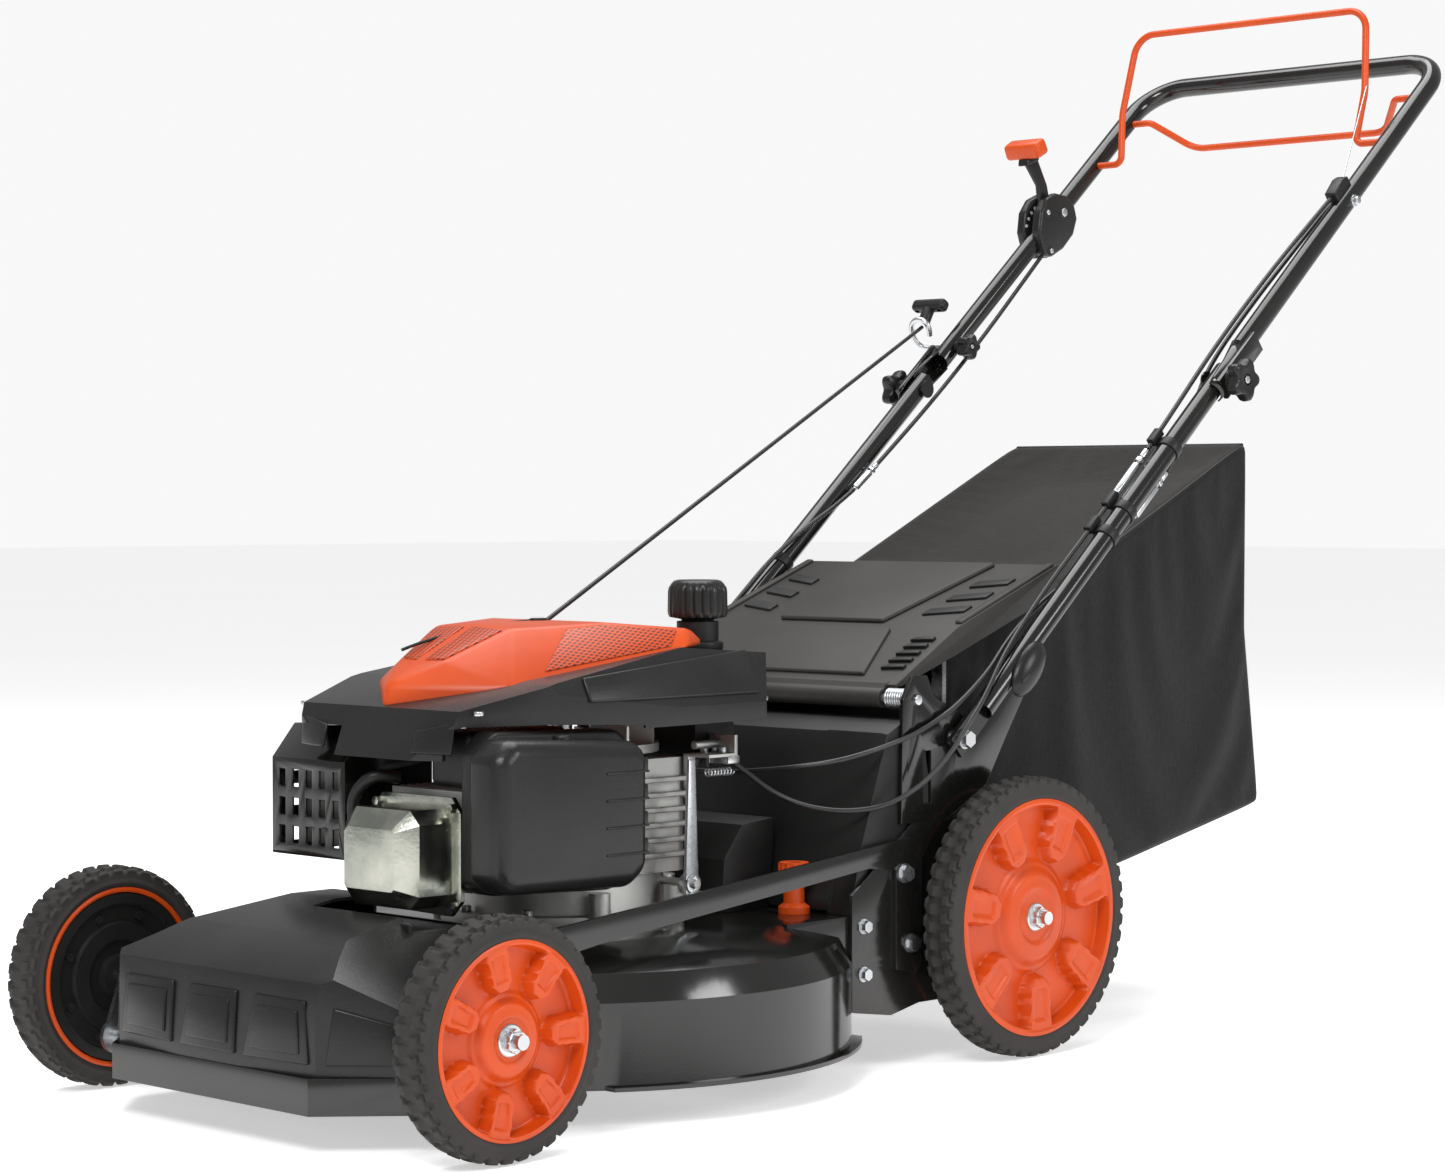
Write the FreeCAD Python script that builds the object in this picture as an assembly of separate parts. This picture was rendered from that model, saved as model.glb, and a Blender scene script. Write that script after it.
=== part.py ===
import FreeCAD, Part
import math
import os

os.makedirs("parts", exist_ok=True)
Vec = FreeCAD.Vector

# Self-propelled petrol lawn mower with a rear bag, in millimetres.
# +X is the mower's left, +Y runs from the front wheels to the handle, +Z is up.
# Everything is drawn with Y = 0 at the front axle and moved along Y at the end,
# so that the origin is on the ground under the middle of the mower's length.

# ---------------------------------------------------------------- driving dimensions
FRONT_TYRE_R = 101.6          # 8 inch front wheels
FRONT_TYRE_WIDTH = 42.0
FRONT_RIM_R = 82.5
FRONT_OUTER_X = 288.0         # outer face of the front wheels
REAR_TYRE_R = 136.0           # 11 inch rear wheels
REAR_TYRE_WIDTH = 40.0
REAR_RIM_R = 114.8
REAR_OUTER_X = 257.6
WHEELBASE = 715.3
SPINDLE_R = 6.35              # half-inch wheel bolts
PAD_COUNT = 7                 # raised pads on each wheel face

CRANK_Y = 17.5                # wheel centre from its height-crank pivot, deck at its lowest
CRANK_Z = 50.4
AXLE_ROD_R = 8.0
AXLE_BUSH_R = 13.0
CRANK_PLATE = 5.0

ENGINE_Y = 320.0              # crankshaft axis, on the middle plane
CRANKSHAFT_R = 11.1           # 7/8 inch crankshaft
CHAMBER_R = 272.0             # outside of the cutting chamber
DECK_TOP = 150.0
DECK_LIP_Z = 33.0
DECK_WALL = 3.0
BLADE_LENGTH = 530.0
BLADE_Z = 52.0
ENGINE_PULLEY_R = 24.0
GEARBOX_PULLEY_R = 26.0
BELT_Z = 94.0                # underside of the drive belt

HOOD_WALL = 3.0
HOOD_HALF_WIDTH = 198.0

SIDE_PLATE_X = 196.0          # inner face of the rear side plates
PLATE = 4.0                   # thickness of side, brace and handle plates

HANDLE_ANGLE = 40.5           # handle above the ground
HANDLE_TUBE_R = 11.1          # 7/8 inch handle tube
HANDLE_TUBE_WALL = 1.5
HANDLE_PIVOT = (655.0, 309.4)     # Y, Z of the lower handle bolts
LOWER_HANDLE_LENGTH = 547.0       # pivot bolt to fold bolt
UPPER_HANDLE_LENGTH = 577.0       # fold bolt to the middle of the crossbar
TUBE_X = 207.0                    # half distance between the two side tubes
TOP_CORNER_R = 52.0

BAIL_WIRE_R = 4.0
CABLE_R = 2.5
ROPE_R = 2.25

BAG_WALL = 4.0
BAG_HALF_WIDTH = 163.0
DOOR_HALF_WIDTH = 171.0
DOOR_WALL = 3.0

RUNNING = 0.05                # radial clearance of pins, shafts and spindles
GAP = 0.5                     # clearance between faces that move past each other
BOLT_R = 4.0

# ---------------------------------------------------------------- derived places
REAR_AXLE = (WHEELBASE, REAR_TYRE_R)
FRONT_PIVOT = (-CRANK_Y, FRONT_TYRE_R - CRANK_Z)
REAR_PIVOT = (REAR_AXLE[0] - CRANK_Y, REAR_AXLE[1] - CRANK_Z)
HANDLE_DIR = (math.cos(math.radians(HANDLE_ANGLE)), math.sin(math.radians(HANDLE_ANGLE)))
FOLD_PIVOT = (HANDLE_PIVOT[0] + LOWER_HANDLE_LENGTH * HANDLE_DIR[0],
              HANDLE_PIVOT[1] + LOWER_HANDLE_LENGTH * HANDLE_DIR[1])

LEVER_ALONG = LOWER_HANDLE_LENGTH + 306      # speed lever, along the handle
GUIDE_ALONG = LOWER_HANDLE_LENGTH + 76       # rope guide, along the handle
ROPE_START = Vec(0, 296, 424)                # mouth of the starter cover
GRIP_CENTRE = Vec(-TUBE_X - 35, FOLD_PIVOT[0] + 76 * HANDLE_DIR[0] - 10,
                  FOLD_PIVOT[1] + 76 * HANDLE_DIR[1] + 24)

nodes = {}


# ---------------------------------------------------------------- drawing helpers
def box(x0, x1, y0, y1, z0, z1):
    return Part.makeBox(x1 - x0, y1 - y0, z1 - z0, Vec(x0, y0, z0))


def rod(start, end, radius):
    start, end = Vec(*start), Vec(*end)
    return Part.makeCylinder(radius, (end - start).Length, start, end - start)


def rod_x(x0, x1, place, radius):
    """A rod along X at place = (Y, Z)."""
    return rod((x0, *place), (x1, *place), radius)


def rod_z(x, y, z0, z1, radius):
    return rod((x, y, z0), (x, y, z1), radius)


def prism(points, sweep):
    """A solid from a flat closed outline, pushed along the vector sweep."""
    corners = [Vec(*p) for p in points]
    return Part.Face(Part.makePolygon(corners + corners[:1])).extrude(Vec(*sweep))


def prism_x(outline, x0, x1):
    return prism([(x0, y, z) for y, z in outline], (x1 - x0, 0, 0))


def prism_y(outline, y0, y1):
    return prism([(x, y0, z) for x, z in outline], (0, y1 - y0, 0))


def prism_z(outline, z0, z1):
    return prism([(x, y, z0) for x, y in outline], (0, 0, z1 - z0))


def turned_x(profile, x0, place, side):
    """A solid turned about the X line at place. Profile is (radius, depth inwards from x0)."""
    points = [Vec(x0 - side * depth, place[0], place[1] + radius) for radius, depth in profile]
    face = Part.Face(Part.makePolygon(points + points[:1]))
    return face.revolve(Vec(x0, *place), Vec(1, 0, 0), 360)


def turned_z(profile, x, y):
    """A solid turned about a vertical line. Profile is (radius, z)."""
    points = [Vec(x + radius, y, z) for radius, z in profile]
    face = Part.Face(Part.makePolygon(points + points[:1]))
    return face.revolve(Vec(x, y, 0), Vec(0, 0, 1), 360)


def mirrored(shape):
    return shape.mirror(Vec(0, 0, 0), Vec(1, 0, 0))


def fuse(shapes):
    shapes = list(shapes)
    return shapes[0].multiFuse(shapes[1:]).removeSplitter() if len(shapes) > 1 else shapes[0]


def group(shapes):
    return Part.makeCompound(list(shapes))


def bent_path(points, bends):
    """Straight runs joined by tangent arcs. bends holds one radius per inner point, and a
    radius of None takes the largest arc that the two runs leave room for."""
    corners = [Vec(*p) for p in points]
    edges, radii, start = [], [], corners[0]
    for i in range(1, len(corners) - 1):
        before = corners[i - 1] - corners[i]
        after = corners[i + 1] - corners[i]
        turn = math.pi - before.getAngle(after)
        radius = bends[i - 1]
        if radius is None:
            radius = 0.45 * min(before.Length, after.Length) / math.tan(turn / 2)
        cut = radius * math.tan(turn / 2)
        before.normalize()
        after.normalize()
        first, last = corners[i] + before * cut, corners[i] + after * cut
        inward = before + after
        inward.normalize()
        middle = corners[i] + inward * (radius / math.cos(turn / 2) - radius)
        edges.append(Part.LineSegment(start, first).toShape())
        edges.append(Part.Arc(first, middle, last).toShape())
        radii.append(radius)
        start = last
    edges.append(Part.LineSegment(start, corners[-1]).toShape())
    return Part.Wire(edges), radii


def bent_rod(points, radius, bends=None):
    """A round bar along a bent path."""
    path, radii = bent_path(points, bends or [None] * (len(points) - 2))
    start = Vec(*points[0])
    ring = Part.Wire(Part.makeCircle(radius, start, Vec(*points[1]) - start))
    return path.makePipeShell([ring], True, False), path, radii


def bent_bar(points, radius, bends=None):
    return bent_rod(points, radius, bends)[0]


def hex_head(centre, axis, across, height):
    """A hexagonal nut or bolt head whose base is at centre."""
    axis = Vec(*axis)
    ring = [Vec(across / math.sqrt(3) * math.cos(math.radians(60 * k)),
                across / math.sqrt(3) * math.sin(math.radians(60 * k)), 0) for k in range(6)]
    head = Part.Face(Part.makePolygon(ring + ring[:1])).extrude(Vec(0, 0, height))
    turn = FreeCAD.Rotation(Vec(0, 0, 1), axis)
    head.Placement = FreeCAD.Placement(Vec(*centre), turn)
    return head


def on_handle(along, above=0.0, start=HANDLE_PIVOT):
    """(Y, Z) of a point along the handle from its pivot, and above it."""
    return (start[0] + along * HANDLE_DIR[0] - above * HANDLE_DIR[1],
            start[1] + along * HANDLE_DIR[1] + above * HANDLE_DIR[0])


# ---------------------------------------------------------------- wheels
def wheel(name, side, axle, tyre_r, width, rim_r, outer_x):
    """Tyre, and moulded face with raised pads, hub and an inner cover, of one wheel."""
    x0 = side * outer_x
    tyre = turned_x([(rim_r, 0), (tyre_r - 8, 0), (tyre_r, 7), (tyre_r, width - 7),
                     (tyre_r - 8, width), (rim_r, width)], x0, axle, side)
    hub_r, web = 19.0, 4.0
    face = turned_x([(SPINDLE_R + RUNNING, 10), (hub_r - 4, 10), (hub_r + 6, 5),
                     (0.7 * rim_r, 9), (rim_r - 6, 15), (rim_r - 5, 1), (rim_r, 1),
                     (rim_r, width - 3), (rim_r - 3, width - 3), (rim_r - 3, 15 + web),
                     (0.7 * rim_r, 9 + web), (hub_r + 4, 9 + web), (hub_r, 16),
                     (hub_r, width - 3), (SPINDLE_R + RUNNING, width - 3)], x0, axle, side)
    pads = []
    for k in range(PAD_COUNT):
        inner, outer = 0.5 * rim_r, rim_r - 4
        wide_in, wide_out = 0.085 * rim_r, 0.16 * rim_r
        pad = prism([(x0 - side * 16, -wide_in, inner), (x0 - side * 16, wide_in, inner),
                     (x0 - side * 16, wide_out, outer), (x0 - side * 16, -wide_out, outer)],
                    (side * 14.5, 0, 0))
        pad.rotate(Vec(0, 0, 0), Vec(1, 0, 0), 360.0 * k / PAD_COUNT + 12)
        pad.translate(Vec(0, *axle))
        pads.append(pad)
    cover = turned_x([(hub_r + 1, width - 2.5), (rim_r - 4, width - 2.5), (rim_r - 4, width),
                      (hub_r + 1, width)], x0, axle, side)
    nodes["tyre_" + name] = tyre
    nodes["rim_" + name] = group([fuse([face] + pads), cover])


def wheels():
    front, rear = (0.0, FRONT_TYRE_R), REAR_AXLE
    for side, hand in ((1, "left"), (-1, "right")):
        wheel("front_" + hand, side, front, FRONT_TYRE_R, FRONT_TYRE_WIDTH, FRONT_RIM_R, FRONT_OUTER_X)
        wheel("rear_" + hand, side, rear, REAR_TYRE_R, REAR_TYRE_WIDTH, REAR_RIM_R, REAR_OUTER_X)


# ---------------------------------------------------------------- height adjustment
def crank_plate(pivot, x0, ends, radius=16.0):
    """A flat lever of round-ended arms from the pivot to each end."""
    pieces = [rod_x(x0, x0 + CRANK_PLATE, pivot, radius)]
    for end in ends:
        length = math.hypot(end[0] - pivot[0], end[1] - pivot[1])
        arm = box(x0, x0 + CRANK_PLATE, 0, length, -0.8 * radius, 0.8 * radius)
        arm.rotate(Vec(0, 0, 0), Vec(1, 0, 0),
                   math.degrees(math.atan2(end[1] - pivot[1], end[0] - pivot[0])))
        arm.translate(Vec(0, *pivot))
        pieces += [arm, rod_x(x0, x0 + CRANK_PLATE, end, 0.8 * radius)]
    return pieces


def wheel_nut(side, outer_x, axle):
    """Washer, nut and bolt end on the outside of a wheel."""
    x = side * (outer_x - 10 + GAP)
    washer = rod((x, *axle), (x + side * 2, *axle), 13)
    nut = hex_head((x + side * 2, *axle), (side, 0, 0), 18, 8)
    tip = rod((x, *axle), (x + side * 18, *axle), SPINDLE_R)
    return fuse([washer, nut, tip])


def height_adjuster():
    front_axle, rear_axle = (0.0, FRONT_TYRE_R), REAR_AXLE
    front_plate_x = FRONT_OUTER_X - FRONT_TYRE_WIDTH - 11 - CRANK_PLATE
    pieces = [rod_x(-front_plate_x, front_plate_x, FRONT_PIVOT, AXLE_ROD_R)]
    for side in (1, -1):
        x0 = front_plate_x if side > 0 else -front_plate_x - CRANK_PLATE
        pieces += crank_plate(FRONT_PIVOT, x0, [front_axle])
        end = side * (FRONT_OUTER_X - 10 + GAP)
        pieces.append(rod((side * front_plate_x, *front_axle), (end, *front_axle), SPINDLE_R))
    nodes["front_axle"] = fuse(pieces + [wheel_nut(s, FRONT_OUTER_X, front_axle) for s in (1, -1)])

    arm_x = -(SIDE_PLATE_X + 14)
    plate_x = SIDE_PLATE_X + 10
    pieces = [rod_x(-plate_x - 1, plate_x + 1, REAR_PIVOT, AXLE_ROD_R)]
    pieces += crank_plate(REAR_PIVOT, plate_x, [rear_axle])
    pieces += crank_plate(REAR_PIVOT, arm_x - 1, [rear_axle], 13)
    pieces.append(rod_x(-REAR_OUTER_X + 10 - GAP, REAR_OUTER_X - 10 + GAP, rear_axle, SPINDLE_R))
    nodes["rear_axle"] = fuse(pieces + [wheel_nut(s, REAR_OUTER_X, rear_axle) for s in (1, -1)])

    lever_angle = math.radians(112)
    reach = 186.0
    tip = (REAR_PIVOT[0] + reach * math.cos(lever_angle), REAR_PIVOT[1] + reach * math.sin(lever_angle))
    lever = crank_plate(REAR_PIVOT, arm_x - 1, [tip], 8)[1:]
    lever = fuse(lever).cut(nodes["rear_axle"])
    nodes["height_lever"] = group([lever, rod_x(arm_x - 44, arm_x - 1, tip, 9)])

    case = fuse([rod_x(-175, -115, rear_axle, 32),
                 box(-165, -125, rear_axle[0] - 62, rear_axle[0] - 20, BELT_Z + 11, rear_axle[1] + 10)])
    pulley = rod_z(-145, rear_axle[0] - 45, BELT_Z - 2, BELT_Z + 11, GEARBOX_PULLEY_R)
    nodes["gearbox"] = group([case.cut(nodes["rear_axle"]), pulley.cut(nodes["rear_axle"])])


# ---------------------------------------------------------------- deck
def nose_outline(inset):
    """Plan outline of the deck's front, around the front axle rod."""
    half, corner = HOOD_HALF_WIDTH + 2 - inset, 135 - inset * 0.7
    front = -92 + inset
    return [(-corner, front), (corner, front), (half, -22 + inset * 0.4), (half, ENGINE_Y - 100),
            (-half, ENGINE_Y - 100), (-half, -22 + inset * 0.4)]


def chamber(inset, bottom):
    """Round cutting chamber with a sloped shoulder."""
    r, top = CHAMBER_R - inset, DECK_TOP - inset
    return turned_z([(0, bottom), (r, bottom), (r, top - 42), (r - 12, top - 18), (r - 60, top),
                     (0, top)], 0, ENGINE_Y)


CHUTE_X = (-25.0, 165.0)      # inside of the grass chute
CHUTE_FLOOR = [(505.0, 62.0), (600.0, 150.0), (672.0, 212.0)]
CHUTE_ROOF = [(505.0, 144.0), (560.0, 300.0), (640.0, 338.0)]


def chute(offset, x0, x1):
    """Grass chute from the cutting chamber up to the bag, thicker by offset all round."""
    floor = [(y, z - offset) for y, z in CHUTE_FLOOR]
    roof = [(y - offset * (i < 2), z + offset) for i, (y, z) in enumerate(CHUTE_ROOF)]
    return prism_x(floor + roof[::-1], x0 - offset, x1 + offset)


def deck():
    rear_outer = box(-SIDE_PLATE_X, SIDE_PLATE_X, ENGINE_Y + 100, 540, 60, DECK_TOP)
    outer = fuse([prism_z(nose_outline(0), DECK_LIP_Z, 64), chamber(0, DECK_LIP_Z), rear_outer])
    rear_inner = box(-SIDE_PLATE_X + DECK_WALL, SIDE_PLATE_X - DECK_WALL, ENGINE_Y + 100,
                     540 - DECK_WALL, 50, DECK_TOP - DECK_WALL)
    inner = fuse([prism_z(nose_outline(DECK_WALL), 20, 64 - DECK_WALL),
                  chamber(DECK_WALL, 20), rear_inner])
    lip = turned_z([(CHAMBER_R - 1, DECK_LIP_Z), (CHAMBER_R + 10, DECK_LIP_Z),
                    (CHAMBER_R + 10, DECK_LIP_Z + 4), (CHAMBER_R - 1, DECK_LIP_Z + 4)], 0, ENGINE_Y)
    lip = lip.cut(box(-300, 300, -50, ENGINE_Y - 157, 0, 100))
    lip = lip.cut(box(-SIDE_PLATE_X, SIDE_PLATE_X, 520, 620, 0, 100))
    shell = fuse([outer.cut(inner), lip])
    shell = shell.cut(rod_z(0, ENGINE_Y, DECK_TOP - 10, DECK_TOP + 1, 34))
    shell = shell.cut(rod_x(-220, 220, FRONT_PIVOT, AXLE_BUSH_R))
    shell = shell.cut(chute(0, *CHUTE_X))
    shell = shell.cut(box(-150, -60, 536, 600, BELT_Z - 4, BELT_Z + 14))
    shell = shell.cut(rod_z(*PORT_XY, DECK_TOP - 10, DECK_TOP + 1, PORT_BORE_R + 3))
    nodes["deck_shell"] = shell

    half = HOOD_HALF_WIDTH
    bushes = []
    for side in (1, -1):
        inner_x, outer_x = side * (half - 8), side * (half + 2)
        bush = rod((inner_x, *FRONT_PIVOT), (outer_x, *FRONT_PIVOT), AXLE_BUSH_R)
        bushes.append(bush.cut(rod_x(-250, 250, FRONT_PIVOT, AXLE_ROD_R + RUNNING)))
        rear = rod((side * (SIDE_PLATE_X - 5), *REAR_PIVOT),
                   (side * (SIDE_PLATE_X + PLATE), *REAR_PIVOT), AXLE_BUSH_R)
        bushes.append(rear.cut(rod_x(-250, 250, REAR_PIVOT, AXLE_ROD_R + RUNNING)))
    nodes["axle_bushes"] = group(bushes)


def hood_solid(inset):
    """Faceted front hood, as the common part of its side, plan and front outlines."""
    base = 64.0 if inset == 0 else 50.0
    k = inset
    side = prism_x([(-91 + k, base), (-90 + k, 80), (-81 + k, 141 - k * 0.6), (-28, 170 - k),
                    (70, 186 - k), (118 - k, 186 - k), (118 - k, base)], -300, 300)
    plan = prism_z([(-135 + k, -84 + k), (-41, -91 + k), (41, -91 + k), (135 - k, -84 + k),
                    (HOOD_HALF_WIDTH - k, -24), (HOOD_HALF_WIDTH - k, 118 - k),
                    (-HOOD_HALF_WIDTH + k, 118 - k), (-HOOD_HALF_WIDTH + k, -24)], 20, 300)
    front = prism_y([(-HOOD_HALF_WIDTH + k, base), (-HOOD_HALF_WIDTH + k, 112 - k),
                     (-125, 158 - k), (-86, 187 - k), (86, 187 - k), (125, 158 - k),
                     (HOOD_HALF_WIDTH - k, 112 - k), (HOOD_HALF_WIDTH - k, base)], -200, 200)
    return side.common(plan).common(front)


def front_hood():
    hood = hood_solid(0).cut(hood_solid(HOOD_WALL))
    hood = hood.cut(chamber(-GAP, 0)).cut(rod_x(-220, 220, FRONT_PIVOT, AXLE_BUSH_R))
    # Dished behind the ridge so that the valve cover and its bolts clear it.
    nodes["front_hood"] = hood.cut(box(-26, 108, 44, 130, 170, 300))


PORT_XY = (138.0, 492.0)      # hose port for washing the deck
PORT_BORE_R = 6.5
PORT_TOP = 198.0


def hose_port():
    collar = turned_z([(PORT_BORE_R, DECK_TOP - 8), (PORT_BORE_R + 3, DECK_TOP - 8),
                       (PORT_BORE_R + 3, DECK_TOP), (15, DECK_TOP), (15, DECK_TOP + 6),
                       (10, DECK_TOP + 10), (10, PORT_TOP - 14), (14, PORT_TOP - 12),
                       (14, PORT_TOP), (PORT_BORE_R, PORT_TOP)], *PORT_XY)
    ribs = [rod_z(PORT_XY[0] + 14 * math.cos(math.radians(a)), PORT_XY[1] + 14 * math.sin(math.radians(a)),
                  PORT_TOP - 12, PORT_TOP - 1, 1.2) for a in range(0, 360, 24)]
    port = fuse([collar] + ribs)
    nodes["hose_port"] = port.cut(rod_z(*PORT_XY, DECK_TOP - 20, PORT_TOP + 1, PORT_BORE_R))


def side_plates():
    outline = [(505, 60), (560, 52), (600, 60), (672, 60), (722, 60), (722, 112), (676, 124),
               (660, 150), (655, 232), (590, 232), (505, 170)]
    plate = prism_x(outline, SIDE_PLATE_X, SIDE_PLATE_X + PLATE)
    swing = math.hypot(CRANK_Y, CRANK_Z)
    slot = rod_x(SIDE_PLATE_X - 1, SIDE_PLATE_X + PLATE + 1, REAR_PIVOT, swing + SPINDLE_R + 5)
    slot = slot.cut(rod_x(SIDE_PLATE_X - 2, SIDE_PLATE_X + PLATE + 2, REAR_PIVOT, swing - SPINDLE_R - 5))
    y, z = REAR_PIVOT
    slot = slot.common(prism_x([(y, z), (y + 90, z - 40), (y + 90, z + 90), (y - 22, z + 90)], 190, 210))
    plate = plate.cut(slot).cut(chamber(-GAP, 0)).cut(rod_x(190, 210, REAR_PIVOT, AXLE_BUSH_R))

    # The left brace runs forward over the deck as one strip with its bolted rear flange.
    x0 = SIDE_PLATE_X + PLATE
    brace = prism_x([(96, 148), (120, 148), (173, 156), (524, 194), (563, 190), (563, 96), (592, 90),
                     (600, 100), (600, 208), (585, 219), (552, 216), (173, 179), (96, 172)], x0, x0 + PLATE)
    foot = prism_x([(90, DECK_TOP), (120, DECK_TOP), (120, 172), (90, 172)], x0, x0 + PLATE)
    nodes["side_plates"] = group([plate, mirrored(plate), fuse([brace, foot])])

    under = HANDLE_TUBE_R + 4
    tip = [on_handle(150, -under - 12), on_handle(150, -under), on_handle(50, -under)]
    bracket = prism_x([(575, 232), (640, 232), (700, 262), (738, 318)] + tip +
                      [(672, 326), (655, 338), (624, 350), (612, 372), (590, 372), (577, 350)],
                      SIDE_PLATE_X, SIDE_PLATE_X + PLATE)
    slot = box(SIDE_PLATE_X - 1, SIDE_PLATE_X + PLATE + 1, 606, 618, 250, 300)
    bracket = bracket.cut(slot).cut(rod_x(190, 210, HANDLE_PIVOT, BOLT_R)).cut(
        rod_x(190, 210, HINGE, HINGE_ROD_R))
    nodes["handle_brackets"] = group([bracket, mirrored(bracket)])

    bolts = []
    for place, size in (((574, 186), 13), ((584, 119), 13), ((520, 140), 10), ((520, 95), 10)):
        x = x0 + PLATE if size == 13 else x0
        flange = rod_x(x, x + 1.6, place, size * 0.72)
        bolt = fuse([flange, hex_head((x + 1.6, *place), (1, 0, 0), size, 6)])
        bolts.append(bolt)
        right = fuse([rod_x(x0, x0 + 1.6, place, size * 0.72),
                      hex_head((x0 + 1.6, *place), (1, 0, 0), size, 4)])
        bolts.append(mirrored(right))
    nodes["deck_bolts"] = group(bolts + handle_bolts())


HINGE = (597.0, 349.0)        # door hinge rod
HINGE_ROD_R = 5.0
FLAT_X = 204.0                # inner face of the flattened ends of the lower handle
FLAT = 5.0


def handle_bolts():
    """Bolt, spacer and nut at each end of the lower handle."""
    pins = []
    for side in (1, -1):
        x0, x1 = side * (SIDE_PLATE_X - 4), side * (FLAT_X + FLAT + GAP)
        shank = rod((x0, *HANDLE_PIVOT), (x1, *HANDLE_PIVOT), BOLT_R)
        head = hex_head((x1 + side * 2, *HANDLE_PIVOT), (side, 0, 0), 14, 7)
        flange = rod((x1, *HANDLE_PIVOT), (x1 + side * 2, *HANDLE_PIVOT), 9.5)
        spacer = rod((side * (SIDE_PLATE_X + PLATE), *HANDLE_PIVOT),
                     (side * (FLAT_X - GAP), *HANDLE_PIVOT), 9)
        pins.append(fuse([shank, head, flange, spacer]))
    return pins


def rear_housing():
    walls = chute(DECK_WALL, *CHUTE_X).cut(chute(0, *CHUTE_X))
    walls = walls.cut(prism_x([(400, 0), (508, 0), (508, 400), (400, 400)], -60, 200))
    walls = walls.cut(prism_x([(672, 150), (800, 150), (800, 420), (640, 420), (640, 338)], -60, 200))
    cowl_outer = [(508, DECK_TOP), (520, 205), (560, 318), (585, 330), (612, 330), (612, DECK_TOP)]
    cowl_inner = [(515, DECK_TOP - 5), (524, 204), (563, 314), (587, 326), (613, 326), (613, DECK_TOP - 5)]
    half = SIDE_PLATE_X - GAP
    cowl = prism_x(cowl_outer, -half, half).cut(prism_x(cowl_inner, -half + 4, half - 4))
    cowl = cowl.cut(chute(DECK_WALL, *CHUTE_X)).cut(chamber(-GAP, 0))
    cowl = cowl.cut(rod_z(*PORT_XY, 100, 300, 19))
    housing = fuse([cowl, walls]).cut(box(-200, 200, 0, 538, 0, DECK_TOP)).cut(nodes["deck_shell"])
    cover = prism_x([(441, DECK_TOP), (445, 200), (470, 232), (512, 236), (512, 205), (506, DECK_TOP)], -70, 92)
    inner = prism_x([(445, DECK_TOP - 4), (449, 198), (472, 228), (508, 232), (508, 205), (502, DECK_TOP - 4)],
                    -66, 88)
    nodes["rear_housing"] = group([housing, cover.cut(inner).cut(housing)])
    pin = rod_x(-SIDE_PLATE_X - 7, SIDE_PLATE_X + 7, HINGE, HINGE_ROD_R)
    coil = turned_x([(HINGE_ROD_R + 0.8, 0), (11, 0), (11, 28), (HINGE_ROD_R + 0.8, 28)],
                    SIDE_PLATE_X - 3, HINGE, 1)
    leg = rod((SIDE_PLATE_X - 6, HINGE[0] - 9, HINGE[1] - 4), (SIDE_PLATE_X - 6, HINGE[0] - 11, 332), 1.3)
    nodes["hinge_rod"] = group([pin, fuse([coil, leg])])


# ---------------------------------------------------------------- door and grass bag
DOOR_PROFILE = [(600.0, 362.0), (690.0, 414.0), (848.0, 474.0)]


def door():
    top = [(y, z) for y, z in DOOR_PROFILE]
    lower = [(y + 2, z - DOOR_WALL) for y, z in DOOR_PROFILE]
    skin = prism_x(top + lower[::-1], -DOOR_HALF_WIDTH, DOOR_HALF_WIDTH)
    skirt_line = [(DOOR_PROFILE[0][0] + 8, DOOR_PROFILE[0][1] - 2), (690, 388), (850, 446), (848, 474)]
    skirt = prism_x(top[:2] + [top[2]] + skirt_line[::-1], DOOR_HALF_WIDTH - DOOR_WALL, DOOR_HALF_WIDTH)
    sleeve = rod_x(-DOOR_HALF_WIDTH + 8, DOOR_HALF_WIDTH - 12, HINGE, HINGE_ROD_R + 4.5)
    web = prism_x([(594, 356), (604, 354), (612, 366), (600, 364)], -DOOR_HALF_WIDTH + 8, DOOR_HALF_WIDTH - 12)
    body = fuse([skin, skirt, mirrored(skirt), sleeve, web])
    nodes["rear_door"] = body.cut(rod_x(-220, 220, HINGE, HINGE_ROD_R + RUNNING))


BAG_OUTLINE = [(684.0, 222.0), (800.0, 162.0), (962.0, 158.0), (1218.0, 209.0), (1184.0, 400.0),
               (1192.0, 604.0), (866.0, 456.0), (684.0, 388.0)]
BAG_INSIDE = [(680.0, 226.0), (801.0, 166.0), (962.0, 162.0), (1213.0, 212.0), (1180.0, 400.0),
              (1187.0, 597.5), (867.0, 451.5), (680.0, 383.5)]


def bag():
    outer = prism_x(BAG_OUTLINE, -BAG_HALF_WIDTH, BAG_HALF_WIDTH)
    inner = prism_x(BAG_INSIDE, -BAG_HALF_WIDTH + BAG_WALL, BAG_HALF_WIDTH - BAG_WALL)
    nodes["grass_bag"] = outer.cut(inner)
    half = BAG_HALF_WIDTH
    ring = box(-half, half, 678, 683.5, 222, 388).cut(box(-half + 14, half - 14, 670, 690, 236, 374))
    rail = []
    for side in (1, -1):
        x = side * (half - BAG_WALL - 8)
        rail.append(bent_bar([(x, 690, 372), (x, 860, 438), (x, 1172, 580), (x, 1166, 400), (x, 1196, 222)],
                             4.0, [60, 24, 60]))
    bar = rod((-half + 16, 1166, 400), (half - 16, 1166, 400), 4.0)
    nodes["bag_frame"] = group([ring, fuse(rail + [bar])])


# ---------------------------------------------------------------- engine
def crank_bore(z0, z1):
    return rod_z(0, ENGINE_Y, z0, z1, CRANKSHAFT_R + RUNNING)


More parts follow.
